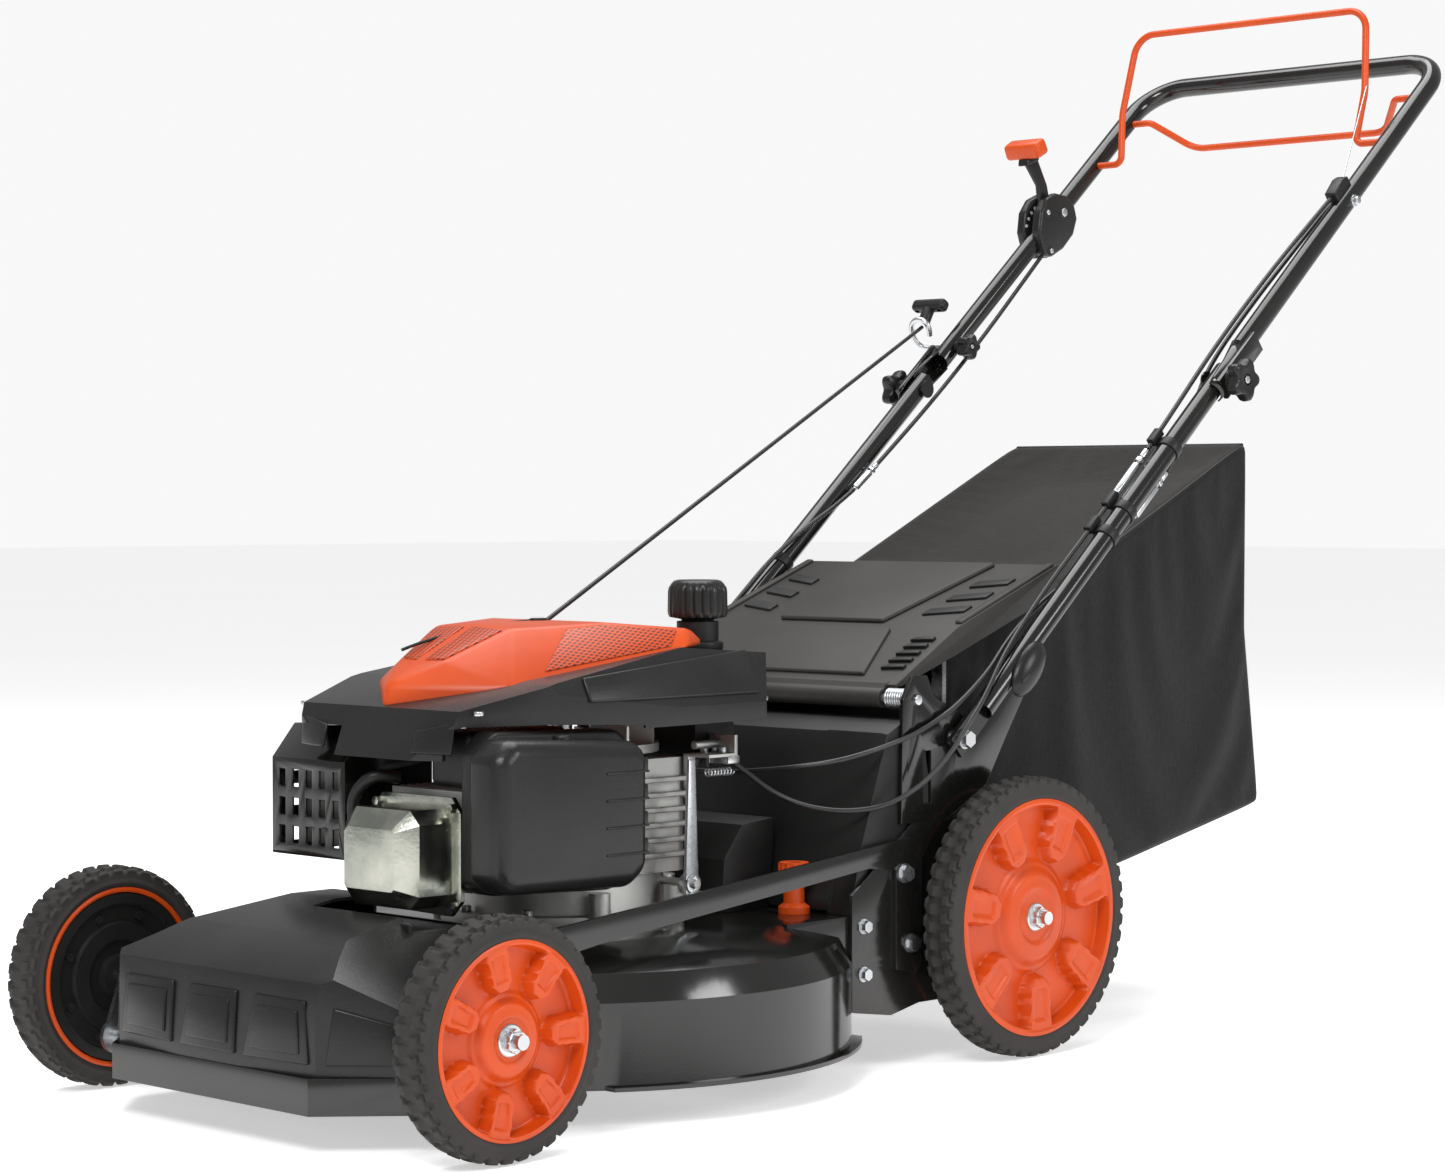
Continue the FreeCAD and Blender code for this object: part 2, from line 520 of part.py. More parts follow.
def crankcase():
    y = ENGINE_Y
    flange = rod_z(0, y, DECK_TOP, DECK_TOP + 12, 112)
    ears = [rod_z(112 * math.cos(math.radians(a)), y + 112 * math.sin(math.radians(a)),
                  DECK_TOP, DECK_TOP + 34, 10) for a in (25, 75, 145, 215, 335)]
    sump = rod_z(0, y, DECK_TOP + 12, DECK_TOP + 44, 96)
    block = box(-84, 84, y - 80, y + 88, DECK_TOP + 44, 300)
    block = block.makeFillet(18, [e for e in block.Edges if abs(e.tangentAt(e.FirstParameter).z) > 0.99])
    # Cast walls round one open space, with a floor and a roof that hold the shaft.
    space = fuse([rod_z(0, y, DECK_TOP + 8, DECK_TOP + 44, 88),
                  box(-76, 76, y - 72, y + 80, DECK_TOP + 40, 290)])
    case = fuse([flange, sump, block] + ears).cut(space)
    shaft = rod_x(70, 128, GOVERNOR, 4)
    nodes["crankcase"] = fuse([case.cut(crank_bore(100, 400)), shaft])


GOVERNOR = (372.0, 186.0)     # pivot of the governor arm
CYLINDER_X = 40.0
HEAD_FACE_Y = 112.0           # face that the valve cover closes


def cylinder():
    x, y1 = CYLINDER_X, ENGINE_Y - 80
    core = box(x - 42, x + 42, HEAD_FACE_Y, y1, DECK_TOP + 45, 268)
    fins = [box(x - 54, x + 54, y, y + 3, DECK_TOP + 45, 284) for y in range(int(HEAD_FACE_Y) + 14, int(y1) - 6, 9)]
    nodes["cylinder"] = fuse([core] + fins)
    flange = prism_y([(x - 58, 190), (x - 44, 178), (x + 46, 176), (x + 60, 190), (x + 60, 266),
                      (x + 48, 280), (x - 44, 280), (x - 58, 266)], HEAD_FACE_Y - 5, HEAD_FACE_Y)
    bulge = prism_y([(x - 50, 196), (x - 38, 184), (x + 36, 184), (x + 48, 196), (x + 48, 258),
                     (x + 36, 270), (x - 36, 270), (x - 50, 256)], HEAD_FACE_Y - 58, HEAD_FACE_Y - 5)
    bulge = bulge.makeChamfer(16, [e for e in bulge.Edges if e.BoundBox.YMax < HEAD_FACE_Y - 57])
    places = [(x - 50, 187), (x + 52, 185), (x + 51, 271), (x - 48, 272)]
    heads = [hex_head((bx, HEAD_FACE_Y - 5, bz), (0, -1, 0), 8, 6) for bx, bz in places]
    nodes["valve_cover"] = fuse([flange, bulge] + heads)
    boot = bent_bar([(x - 36, HEAD_FACE_Y + 8, 292), (x - 46, HEAD_FACE_Y - 16, 296),
                     (x - 66, HEAD_FACE_Y - 22, 276), (x - 68, HEAD_FACE_Y - 18, 246)], 5.5)
    cap = rod((x - 68, HEAD_FACE_Y - 18, 244), (x - 66, HEAD_FACE_Y - 10, 204), 9)
    nodes["spark_plug_lead"] = fuse([boot, cap])


def muffler():
    can = box(-138, -52, 120, 196, 226, 318)
    nodes["muffler"] = can.cut(box(-136, -54, 122, 194, 228, 316))
    shell = prism_x([(98, 216), (202, 216), (202, 334), (124, 334), (98, 304)], -150, -46)
    inner = prism_x([(101, 213), (203, 213), (203, 331), (126, 331), (101, 303)], -147, -49)
    guard = shell.cut(inner)
    slots = []
    for row in range(3):
        for col in range(5):
            x = -140 + col * 19
            slots.append(box(x, x + 9, 90, 110, 226 + row * 26, 242 + row * 26))
    for row in range(3):
        for col in range(4):
            y = 120 + col * 19
            slots.append(box(-155, -144, y, y + 9, 226 + row * 32, 246 + row * 32))
    nodes["muffler_guard"] = guard.cut(group(slots))


def air_cleaner():
    base = prism_x([(104, 206), (118, 196), (262, 190), (284, 206), (284, 322), (268, 334), (122, 338),
                    (104, 322)], 101.5, 130)
    nodes["air_cleaner_base"] = base
    cover = prism_x([(88, 214), (104, 200), (250, 196), (270, 212), (270, 316), (256, 326), (106, 334),
                     (88, 318)], 130, 172)
    cover = cover.makeChamfer(9, [e for e in cover.Edges if e.BoundBox.XMin > 171])
    nodes["air_cleaner_cover"] = cover
    body = box(84.5, 101, 242, 290, 222, 280)


    # The throttle bracket stands behind the carburettor, above the governor arm.
    plate = prism_z([(84, 398), (118, 398), (118, 436), (84, 436)], 300, 303)
    upright = box(84, 118, 432, 436, 303, 320)
    stay = box(84.5, 90, 398, 408, 262, 300)
    spring = rod((96, 400, 311), (96, 432, 311), 4)
    nodes["carburettor"] = group([body, fuse([plate, upright, stay]), spring])
    arm = prism_x([(364, 176), (380, 176), (380, 196), (376, 300), (368, 300), (364, 196)], 118, 121.5)
    arm = fuse([arm, rod_x(112.5, 124, GOVERNOR, 9)])
    nodes["governor_arm"] = arm.cut(rod_x(100, 130, GOVERNOR, 4 + RUNNING))


def shroud_outline(k):
    """Plan outline of the engine shroud, inset by k."""
    return [(-60 + k, 84 + k), (58 - k, 84 + k), (104 - k, 96 + k), (138 - k, 190), (146 - k, 330),
            (146 - k, 446 - k), (120 - k, 472 - k), (-120 + k, 472 - k), (-146 + k, 446 - k),
            (-146 + k, 330), (-138 + k, 190), (-104 + k, 96 + k)]


def shroud_solid(k):
    side = prism_x([(84 + k, 312 - 2 * k), (100 + k, 356 - k), (190, 378 - k), (360, 404 - k),
                    (472 - k, 396 - k), (472 - k, 336 - 2 * k), (230, 334 - 2 * k), (180, 318 - 2 * k)],
                   -200, 200)
    front = prism_y([(-146 + k, 300), (-146 + k, 352 - k), (-116, 410 - k), (116, 410 - k),
                     (146 - k, 352 - k), (146 - k, 300)], 0, 600)
    return side.common(prism_z(shroud_outline(k), 280, 480)).common(front)


def shroud_and_starter():
    outer = shroud_solid(0)
    inner = shroud_solid(3)
    shell = outer.cut(inner)
    opening = rod_z(0, ENGINE_Y, 300, 420, 90)
    shell = shell.cut(opening).cut(crank_bore(250, 345)).cut(rod_z(*FUEL_XY, 300, 420, 22.5))
    # Cut away over the air cleaner on the left and over the muffler guard on the right.
    over_cleaner = prism_x([(80, 290), (80, 338), (104, 342), (190, 342), (290, 337), (290, 290)], 92, 180)
    nodes["engine_shroud"] = shell.cut(over_cleaner).cut(box(-160, -44, 80, 206, 280, 338))
    # Recoil starter cover: a low dome of flat facets.
    outline = [(-28, 104), (28, 104), (92, 176), (118, 372), (96, 414), (-96, 414), (-118, 372), (-92, 176)]
    plan = prism_z(outline, 340, 440)
    side = prism_x([(104, 357), (104, 376), (134, 396), (212, 426), (330, 428), (414, 418), (414, 405),
                    (360, 404.5), (190, 378.5)], -150, 150)
    front = prism_y([(-118, 340), (-118, 405), (-70, 428), (70, 428), (118, 405), (118, 340)], 0, 500)
    dome = plan.common(side).common(front)
    dome = dome.cut(shroud_solid(0))
    hollow = rod_z(0, ENGINE_Y, 340, 415, 70)
    pull = GRIP_CENTRE - ROPE_START
    mouth = Part.makeCylinder(ROPE_R + 1.5, 60, ROPE_START - pull.normalize() * 12, pull)
    nodes["starter_cover"] = dome.cut(hollow).cut(mouth)
    reel = fuse([rod_z(0, ENGINE_Y, 395, 411, 50), rod_z(0, ENGINE_Y, 388, 413, 10)])
    nodes["starter_pulley"] = reel.cut(turned_z([(46, 400), (51, 400), (51, 406), (46, 406)], 0, ENGINE_Y))


FUEL_XY = (50.0, 452.0)


def fuel_tank():
    outline = [(-60, 416), (82, 416), (82, 468), (-60, 468)]
    tank = prism_z(outline, 296, 394)
    tank = tank.common(shroud_solid(3.3).fuse(prism_z(outline, 296, 336)))
    under = prism_x([(400, 296), (400, 340), (470, 340), (470, 318), (440, 296)], -60, 82)
    tank = tank.common(under.fuse(prism_z(outline, 330, 400)))
    neck = rod_z(*FUEL_XY, 388, 424, 20)
    tank = fuse([tank, neck])
    tank = tank.cut(rod_z(*FUEL_XY, 380, 430, 16))
    nodes["fuel_tank"] = tank
    cap = turned_z([(0, 426), (27, 426), (28, 429), (28, 454), (24, 462), (0, 464)], *FUEL_XY)
    plug = rod_z(*FUEL_XY, 410, 426, 15)
    ribs = [rod_z(FUEL_XY[0] + 28 * math.cos(math.radians(a)), FUEL_XY[1] + 28 * math.sin(math.radians(a)),
                  430, 453, 1.6) for a in range(0, 360, 20)]
    nodes["fuel_cap"] = fuse([cap, plug] + ribs)


def crankshaft():
    y = ENGINE_Y
    shaft = rod_z(0, y, BLADE_Z - 10, 330, CRANKSHAFT_R)
    adapter = rod_z(0, y, BLADE_Z + 4, BLADE_Z + 34, 26)
    pulley = rod_z(0, y, BELT_Z - 2, BELT_Z + 11, ENGINE_PULLEY_R)
    nodes["crankshaft"] = fuse([shaft, adapter, pulley])
    half = BLADE_LENGTH / 2
    blade = prism_z([(-half, y - 12), (-half + 60, y - 29), (half - 60, y - 29), (half, y - 22),
                     (half, y + 12), (half - 60, y + 29), (-half + 60, y + 29), (-half, y + 22)],
                    BLADE_Z, BLADE_Z + 4)
    nodes["blade"] = blade.cut(rod_z(0, y, 0, 400, CRANKSHAFT_R))
    disc = rod_z(0, y, 306, 314, 92)
    vanes = []
    for k in range(12):
        vane = box(60, 90, -1.5, 1.5, 314, 332)
        vane.rotate(Vec(0, 0, 0), Vec(0, 0, 1), 30 * k)
        vane.translate(Vec(0, y, 0))
        vanes.append(vane)
    nodes["flywheel"] = fuse([disc] + vanes).cut(rod_z(0, y, 0, 400, CRANKSHAFT_R))


def drive_belt():
    """A flat loop round the engine pulley and the gearbox pulley."""
    a, ra = Vec(0, ENGINE_Y, BELT_Z), ENGINE_PULLEY_R
    b, rb = Vec(-145, REAR_AXLE[0] - 45, BELT_Z), GEARBOX_PULLEY_R

    def loop(extra):
        span = b - a
        lean = math.atan2(span.y, span.x)
        tilt = math.acos((ra - rb) / span.Length)
        ends = []
        for sign in (1, -1):
            for centre, r in ((a, ra + extra), (b, rb + extra)):
                angle = lean + sign * tilt
                ends.append(centre + Vec(math.cos(angle) * r, math.sin(angle) * r, 0))
        back_a = a - Vec(math.cos(lean), math.sin(lean), 0) * (ra + extra)
        back_b = b + Vec(math.cos(lean), math.sin(lean), 0) * (rb + extra)
        wire = Part.Wire([Part.LineSegment(ends[0], ends[1]).toShape(),
                          Part.Arc(ends[1], back_b, ends[3]).toShape(),
                          Part.LineSegment(ends[3], ends[2]).toShape(),
                          Part.Arc(ends[2], back_a, ends[0]).toShape()])
        return Part.Face(wire).extrude(Vec(0, 0, 9))

    nodes["drive_belt"] = loop(8.0).cut(loop(0.3))


# ---------------------------------------------------------------- handle
def tube_with_bore(points, bends, radius, wall):
    outer = bent_bar(points, radius, bends)
    return outer.cut(bent_bar(points, radius - wall, bends))


def lower_handle():
    tubes = []
    for side in (1, -1):
        start, end = 40.0, LOWER_HANDLE_LENGTH + 16
        points = [(side * TUBE_X, *on_handle(start)), (side * TUBE_X, *on_handle(end))]
        tube = rod(*points, HANDLE_TUBE_R).cut(rod(*points, HANDLE_TUBE_R - HANDLE_TUBE_WALL))
        flat = box(FLAT_X, FLAT_X + FLAT, -13, 48, -12, 12)
        flat.rotate(Vec(0, 0, 0), Vec(1, 0, 0), HANDLE_ANGLE)
        flat.translate(Vec(0, *HANDLE_PIVOT))
        tube = fuse([tube, flat if side > 0 else mirrored(flat)])
        tube = tube.cut(rod_x(-260, 260, HANDLE_PIVOT, BOLT_R + RUNNING))
        tubes.append(tube.cut(rod_x(-260, 260, FOLD_PIVOT, BOLT_R)))
        x0 = side * (TUBE_X - HANDLE_TUBE_R - 2)
        tubes.append(fuse([rod((x0, *FOLD_PIVOT), (side * (TUBE_X + 28), *FOLD_PIVOT), BOLT_R),
                           rod((x0 - side * 2, *FOLD_PIVOT), (x0, *FOLD_PIVOT), 10)]))
    nodes["lower_tubes"] = group(tubes)


LATCH_ALONG = 108.0


def latches():
    pair = []
    for side in (1, -1):
        x = side * (TUBE_X + HANDLE_TUBE_R + GAP)
        y, z = on_handle(LATCH_ALONG, -6)
        barrel = rod((x, y, z), (x + side * 10, y, z), 17)
        paddle = box(0, 10, -36, 30, -12, 12)
        paddle.rotate(Vec(0, 0, 0), Vec(1, 0, 0), HANDLE_ANGLE + 8)
        paddle.translate(Vec(x if side > 0 else x - 10, y, z))
        pair.append(fuse([barrel, paddle]))
    nodes["handle_latches"] = group(pair)


def upper_handle():
    start, total = LOWER_HANDLE_LENGTH + 50, LOWER_HANDLE_LENGTH + UPPER_HANDLE_LENGTH
    foot = (TUBE_X, *on_handle(start))
    top = (TUBE_X, *on_handle(total))
    points = [foot, top, (-top[0], top[1], top[2]), (-foot[0], foot[1], foot[2])]
    tube = tube_with_bore(points, [TOP_CORNER_R] * 2, HANDLE_TUBE_R, HANDLE_TUBE_WALL)
    saddles = []
    for side in (1, -1):
        x0 = TUBE_X + HANDLE_TUBE_R + GAP
        plate = box(x0, x0 + 5, -16, 66, -12, 12)
        bridge = box(TUBE_X + 2, x0 + 1, 50, 66, -8, 8)
        saddle = fuse([plate, bridge])
        saddle.rotate(Vec(0, 0, 0), Vec(1, 0, 0), HANDLE_ANGLE)
        saddle.translate(Vec(0, *FOLD_PIVOT))
        saddles.append(saddle if side > 0 else mirrored(saddle))
    handle = fuse([tube] + saddles)
    handle = handle.cut(rod_x(-260, 260, FOLD_PIVOT, BOLT_R + RUNNING))
    for place in (STOP_PIVOT, DRIVE_PIVOT):
        handle = handle.cut(rod_x(-TUBE_X, TUBE_X, place, BAIL_WIRE_R + RUNNING))
    nodes["upper_handle"] = handle
    x0 = TUBE_X + HANDLE_TUBE_R + GAP + 5 + GAP
    nodes["star_knobs"] = group(star_knob(s, x0, FOLD_PIVOT, 23.0, BOLT_R + RUNNING) for s in (1, -1))


def star_knob(side, x0, place, radius, bore):
    lobes = []
    for k in range(6):
        angle = math.radians(60 * k)
        lobes.append(rod_x(x0 + 6, x0 + 22, (place[0] + 0.72 * radius * math.cos(angle),
                                             place[1] + 0.72 * radius * math.sin(angle)), 0.3 * radius))
    knob = fuse([rod_x(x0, x0 + 8, place, 0.5 * radius), rod_x(x0 + 6, x0 + 22, place, 0.7 * radius)] + lobes)
    knob = knob.cut(rod_x(x0 - 1, x0 + 12, place, bore))
    return knob if side > 0 else mirrored(knob)


STOP_PIVOT = (1391.0, 939.0)
STOP_TOP = (1418.0, 1093.0)
DRIVE_PIVOT = (1459.0, 994.0)
DRIVE_BAR = (1498.0, 963.0)


def bails():
    y0, z0 = STOP_PIVOT
    y1, z1 = STOP_TOP
    inner = TUBE_X - 3
    leg_x = 176.0
    points = []
    for side in (-1, 1):
        leg = [(side * inner, y0, z0), (side * (leg_x - 12), y0, z0), (side * (leg_x - 6), y0 + 10, z0 + 60),
               (side * (leg_x - 16), y1, z1)]
        points += leg if side < 0 else leg[::-1]
    nodes["stop_bail"] = bent_bar(points, BAIL_WIRE_R, [9, 60, 26, 26, 60, 9])
    y0, z0 = DRIVE_PIVOT
    y1, z1 = DRIVE_BAR
    points = []
    for side in (-1, 1):
        leg = [(side * inner, y0, z0), (side * 172, y0, z0), (side * 134, y1, z1)]
        points += leg if side < 0 else leg[::-1]
    nodes["drive_bail"] = bent_bar(points, BAIL_WIRE_R, [10, 30, 30, 10])


LEVER_DIR = math.radians(117)


def speed_control():
    x = -TUBE_X
    y, z = on_handle(LEVER_ALONG, 2)
    shells = []
    for x0, x1 in ((x - 17, x - 4.0), (x + 4.0, x + 17)):
        shells.append(rod_x(x0, x1, (y, z), 30))
    bridge = box(x - 17, x + 17, y - 20, y + 20, z - 30, z - 22)
    body = fuse(shells + [bridge])
    reach = rod((x, *on_handle(LEVER_ALONG - 60)), (x, *on_handle(LEVER_ALONG + 60)), HANDLE_TUBE_R)
    pivot = (y - 4, z + 20)
    nodes["lever_housing"] = fuse([body.cut(reach), rod_x(x - 19, x + 19, pivot, 3.0)])
    tip = (pivot[0] + 66 * math.cos(LEVER_DIR), pivot[1] + 66 * math.sin(LEVER_DIR))
    arm = prism_x([(pivot[0] - 7, pivot[1] + 1), (pivot[0] + 7, pivot[1] + 3),
                   (tip[0] + 9, tip[1] + 2), (tip[0] - 7, tip[1] - 5)], x - 3.4, x + 3.4)
    arm = fuse([arm, rod_x(x - 3.4, x + 3.4, pivot, 7)]).cut(rod_x(x - 5, x + 5, pivot, 3.0 + RUNNING))
    grip = box(-26, 26, -11, 11, 0, 22)
    grip = grip.makeFillet(6, grip.Edges)
    grip.rotate(Vec(0, 0, 0), Vec(1, 0, 0), math.degrees(LEVER_DIR) - 90)
    grip.translate(Vec(x, tip[0] + 1, tip[1] - 4))
    nodes["speed_lever"] = group([arm, grip.cut(arm)])


def rope_guide():
    x = -TUBE_X
    y, z = on_handle(GUIDE_ALONG)
    stem_end = x - 40
    stem = rod((stem_end, y, z), (x + 20, y, z), 3.5)
    eye = bent_bar([(stem_end, y, z), (stem_end - 8, y - 8, z + 10), (stem_end - 8, y - 14, z + 26),
                    (stem_end + 6, y - 16, z + 34), (stem_end + 18, y - 12, z + 26),
                    (stem_end + 14, y - 8, z + 16)], 3.0, [5, 8, 8, 8])
    nodes["upper_handle"] = nodes["upper_handle"].cut(rod((stem_end, y, z), (x + 30, y, z), 3.5))
    knob = star_knob(1, 0, (0, 0), 15.0, 3.5)
    knob.translate(Vec(x + HANDLE_TUBE_R, y, z))
    nodes["rope_guide"] = group([fuse([stem, eye]), knob])
    pull = Vec(0, math.cos(math.radians(60)), math.sin(math.radians(60)))
    base = GRIP_CENTRE + pull * 8
    post = Part.makeCylinder(7, 16, base, pull)
    bar = box(-24, 24, -7, 7, 14, 28)
    bar = bar.makeFillet(5, bar.Edges)
    bar.Placement = FreeCAD.Placement(base, FreeCAD.Rotation(Vec(0, 0, 1), pull))
    nodes["starter_grip"] = fuse([post, bar])


# ---------------------------------------------------------------- cables and rope
def cord(name, points, radius):
    solid, path, radii = bent_rod(points, radius)
    ideal = math.pi * radius ** 2 * path.Length
    print(f"{name}: length {path.Length:.0f} mm, bends {[round(r) for r in radii]}, "
          f"volume {solid.Volume / ideal:.4f} of section times length")
    return solid


STRAP = 1.8                   # thickness of the cable clips round the tubes
ADJUST_A, ADJUST_B = 345.0, 420.0      # ends of the near adjusters, along the handle
FAR_A, FAR_B = 375.0, 425.0            # ends of the far adjuster
GUARD_ALONG = LOWER_HANDLE_LENGTH + 300      # cable stop on the left tube


def beside(along, above, out, side=1):
    """A point near a side tube: along the handle, above its centre line and outwards from it."""
    return (side * (TUBE_X + out), *on_handle(along, above))


def cables():
    """Control cables. Each is cut where an adjuster holds it."""
    stop_lower = cord("stop cable, lower run", [
        (100, 437, 299), (112, 452, 285), (130, 468, 266), (155, 483, 253), (182, 508, 247), (203, 540, 250),
        (212, 567, 260), (217, 592, 274), (220, 620, 295), (221, 646, 322), beside(46, 15, 9),
        beside(94, 18, 0), beside(147, 16, -8), beside(215, 15, -12), beside(285, 13, -12.5),
        beside(ADJUST_A, 12.5, -12.5)], CABLE_R)
    drive_lower = cord("drive cable, lower run", [
        (20, 478, 279), (60, 476, 279), (100, 478, 283), (145, 474, 288), (180, 500, 294), (198, 534, 303),
        (204, 579, 314), (205, 617, 327), (206, 652, 343), beside(78, 18, -5), beside(120, 15, -13),
        beside(165, 10, -16), beside(210, 0, -18), beside(262, -13, -13), beside(305, -17, -6),
        beside(ADJUST_A, -17.5, -3)], CABLE_R)
    stop_upper = cord("stop cable, upper run", [
        beside(ADJUST_B, 12.5, -12.5), beside(ADJUST_B + 60, 14, -13), beside(ADJUST_B + 150, 17, -15),
        beside(ADJUST_B + 250, 17, -15), beside(ADJUST_B + 340, 16, -12), beside(GUARD_ALONG, 16, -4)], CABLE_R)
    drive_upper = cord("drive cable, upper run", [
        beside(ADJUST_B, -17.5, -3), beside(ADJUST_B + 50, -17, -8), beside(ADJUST_B + 95, -8, -17),
        beside(ADJUST_B + 150, 4, -21), beside(ADJUST_B + 250, 6, -20), beside(ADJUST_B + 340, 4, -18),
        beside(ADJUST_B + 440, 0, -18), beside(ADJUST_B + 500, -10, -15), beside(ADJUST_B + 550, -15, -11),
        beside(LOWER_HANDLE_LENGTH + 496, -14, -11)], CABLE_R)
    speed_lower = cord("speed cable, lower run", [
        (-96, 474, 286), (-130, 484, 288), (-172, 500, 292), (-196, 530, 302), (-204, 577, 314),
        (-205, 617, 328), (-206, 652, 344), beside(100, 19, -3, -1), beside(170, 17, -2, -1),
        beside(240, 17, -4, -1), beside(300, 12, -14, -1), beside(340, 3, -18, -1),
        beside(FAR_A, -3, -17.5, -1)], CABLE_R)
    speed_upper = cord("speed cable, upper run", [
        beside(FAR_B, -8, -16, -1), beside(FAR_B + 60, -13, -14, -1), beside(FAR_B + 130, -16, -14, -1),
        beside(FAR_B + 230, -17, -14, -1), beside(FAR_B + 330, -15, -12, -1),
        beside(LEVER_ALONG - 34, -14, -10, -1)], CABLE_R)
    nodes["stop_cable"] = group([stop_lower, stop_upper])
    nodes["drive_cable"] = group([drive_lower, drive_upper])
    nodes["speed_cable"] = group([speed_lower, speed_upper])
    adjusters = []
    for a, b in ((beside(ADJUST_A, 12.5, -12.5), beside(ADJUST_B, 12.5, -12.5)),
                 (beside(ADJUST_A, -17.5, -3), beside(ADJUST_B, -17.5, -3)),
                 (beside(FAR_A, -3, -17.5, -1), beside(FAR_B, -8, -16, -1))):
        a, b = Vec(*a), Vec(*b)
        along = (b - a).normalize()
        a, b = a + along * GAP, b - along * GAP
        span = b - a
        adjusters.append(fuse([rod(tuple(a), tuple(b), CABLE_R),
                               rod(tuple(a + span * 0.12), tuple(a + span * 0.68), 4.2)]))
    for side, at in ((1, 292.0), (1, 430.0), (-1, 243.0)):
        ring = rod((side * TUBE_X, *on_handle(at)), (side * TUBE_X, *on_handle(at + 12)), HANDLE_TUBE_R + STRAP)
        adjusters.append(ring.cut(rod((side * TUBE_X, *on_handle(at - 5)), (side * TUBE_X, *on_handle(at + 20)),
                                      HANDLE_TUBE_R + 0.1)))
    nodes["cable_adjusters"] = group(adjusters)
    block = box(-6, 8, -14, 14, -7, 7)
    block.rotate(Vec(0, 0, 0), Vec(1, 0, 0), HANDLE_ANGLE)
    block.translate(Vec(TUBE_X - 4, *on_handle(GUARD_ALONG + 12, 16)))
    tube = rod((TUBE_X, *on_handle(GUARD_ALONG - 60)), (TUBE_X, *on_handle(GUARD_ALONG + 60)), HANDLE_TUBE_R)
    nodes["cable_stop"] = block.cut(tube).cut(stop_upper)

    nodes["starter_rope"] = rod(tuple(ROPE_START), tuple(GRIP_CENTRE), ROPE_R)
    print("rope length", round((GRIP_CENTRE - ROPE_START).Length))


# ---------------------------------------------------------------- build and write
wheels()
height_adjuster()
deck()
front_hood()
hose_port()
side_plates()
rear_housing()
door()
bag()
crankcase()
cylinder()
muffler()
air_cleaner()
shroud_and_starter()
fuel_tank()
crankshaft()
drive_belt()
lower_handle()
latches()
upper_handle()
bails()
speed_control()
rope_guide()
cables()

whole = FreeCAD.BoundBox()
for shape in nodes.values():
    whole.add(shape.BoundBox)
# Curved faces make that box a little too large, so the middle comes from points on the faces.
reach_y = [p.y for shape in nodes.values() for p in shape.tessellate(0.5)[0]]
CENTRE_Y = (min(reach_y) + max(reach_y)) / 2
print(f"size {whole.XLength:.1f} x {whole.YLength:.1f} x {whole.ZLength:.1f}, z from {whole.ZMin:.2f}, "
      f"Y shift {-CENTRE_Y:.4f}, X middle {(whole.XMin + whole.XMax) / 2:.2f}, nodes {len(nodes)}")
for name, shape in nodes.items():
    shape.translate(Vec(0, -CENTRE_Y, 0))
    solids = shape.Solids
    if not solids or not shape.isValid():
        print("check", name, len(solids), shape.isValid())
    shape.exportStep(f"parts/{name}.step")
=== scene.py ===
import bpy
import bmesh
import math
from mathutils import Matrix, Vector


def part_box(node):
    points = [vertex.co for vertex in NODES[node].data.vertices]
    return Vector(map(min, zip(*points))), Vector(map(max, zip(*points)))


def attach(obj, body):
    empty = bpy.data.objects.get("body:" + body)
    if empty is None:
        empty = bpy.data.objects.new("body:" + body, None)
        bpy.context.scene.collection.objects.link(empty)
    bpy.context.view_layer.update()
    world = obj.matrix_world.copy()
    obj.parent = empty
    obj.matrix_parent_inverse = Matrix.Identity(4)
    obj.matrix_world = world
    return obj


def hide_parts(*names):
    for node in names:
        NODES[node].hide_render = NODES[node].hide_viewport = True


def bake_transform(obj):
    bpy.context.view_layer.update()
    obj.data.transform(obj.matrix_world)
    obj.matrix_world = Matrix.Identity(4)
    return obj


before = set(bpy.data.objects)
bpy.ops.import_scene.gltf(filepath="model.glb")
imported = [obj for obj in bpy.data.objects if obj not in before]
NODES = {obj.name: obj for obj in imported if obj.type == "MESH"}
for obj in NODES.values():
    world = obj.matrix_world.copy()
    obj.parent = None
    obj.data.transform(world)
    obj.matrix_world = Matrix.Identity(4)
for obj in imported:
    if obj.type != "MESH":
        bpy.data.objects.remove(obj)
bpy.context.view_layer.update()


# ------------------------------------------------------------------ camera
# The drawing measures in millimetres with Y from the front axle. CENTRE_Y, in metres, moves it to the row frame.
front_low, front_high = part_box("tyre_front_left")
CENTRE_Y = -(front_low.y + front_high.y) / 2


def at(x, y, z):
    """A point of the drawing, in metres of the row frame."""
    return Vector((x / 1000, y / 1000 - CENTRE_Y, z / 1000))


def make_camera():
    data = bpy.data.cameras.new("camera")
    data.sensor_width = 36
    data.lens = 84.27
    data.clip_end = 60
    camera = bpy.data.objects.new("camera", data)
    bpy.context.scene.collection.objects.link(camera)
    turn, rise = math.radians(44.0), math.radians(1.453)
    back = Vector((math.sin(turn) * math.cos(rise), -math.cos(turn) * math.cos(rise), math.sin(rise)))
    right = Vector((math.cos(turn), math.sin(turn), 0))
    up = back.cross(right)
    place = at(2300.0, -1843.9, 539.1)
    camera.matrix_world = Matrix(((right.x, up.x, back.x, place.x), (right.y, up.y, back.y, place.y),
                                  (right.z, up.z, back.z, place.z), (0, 0, 0, 1)))
    bpy.context.scene.camera = camera


make_camera()


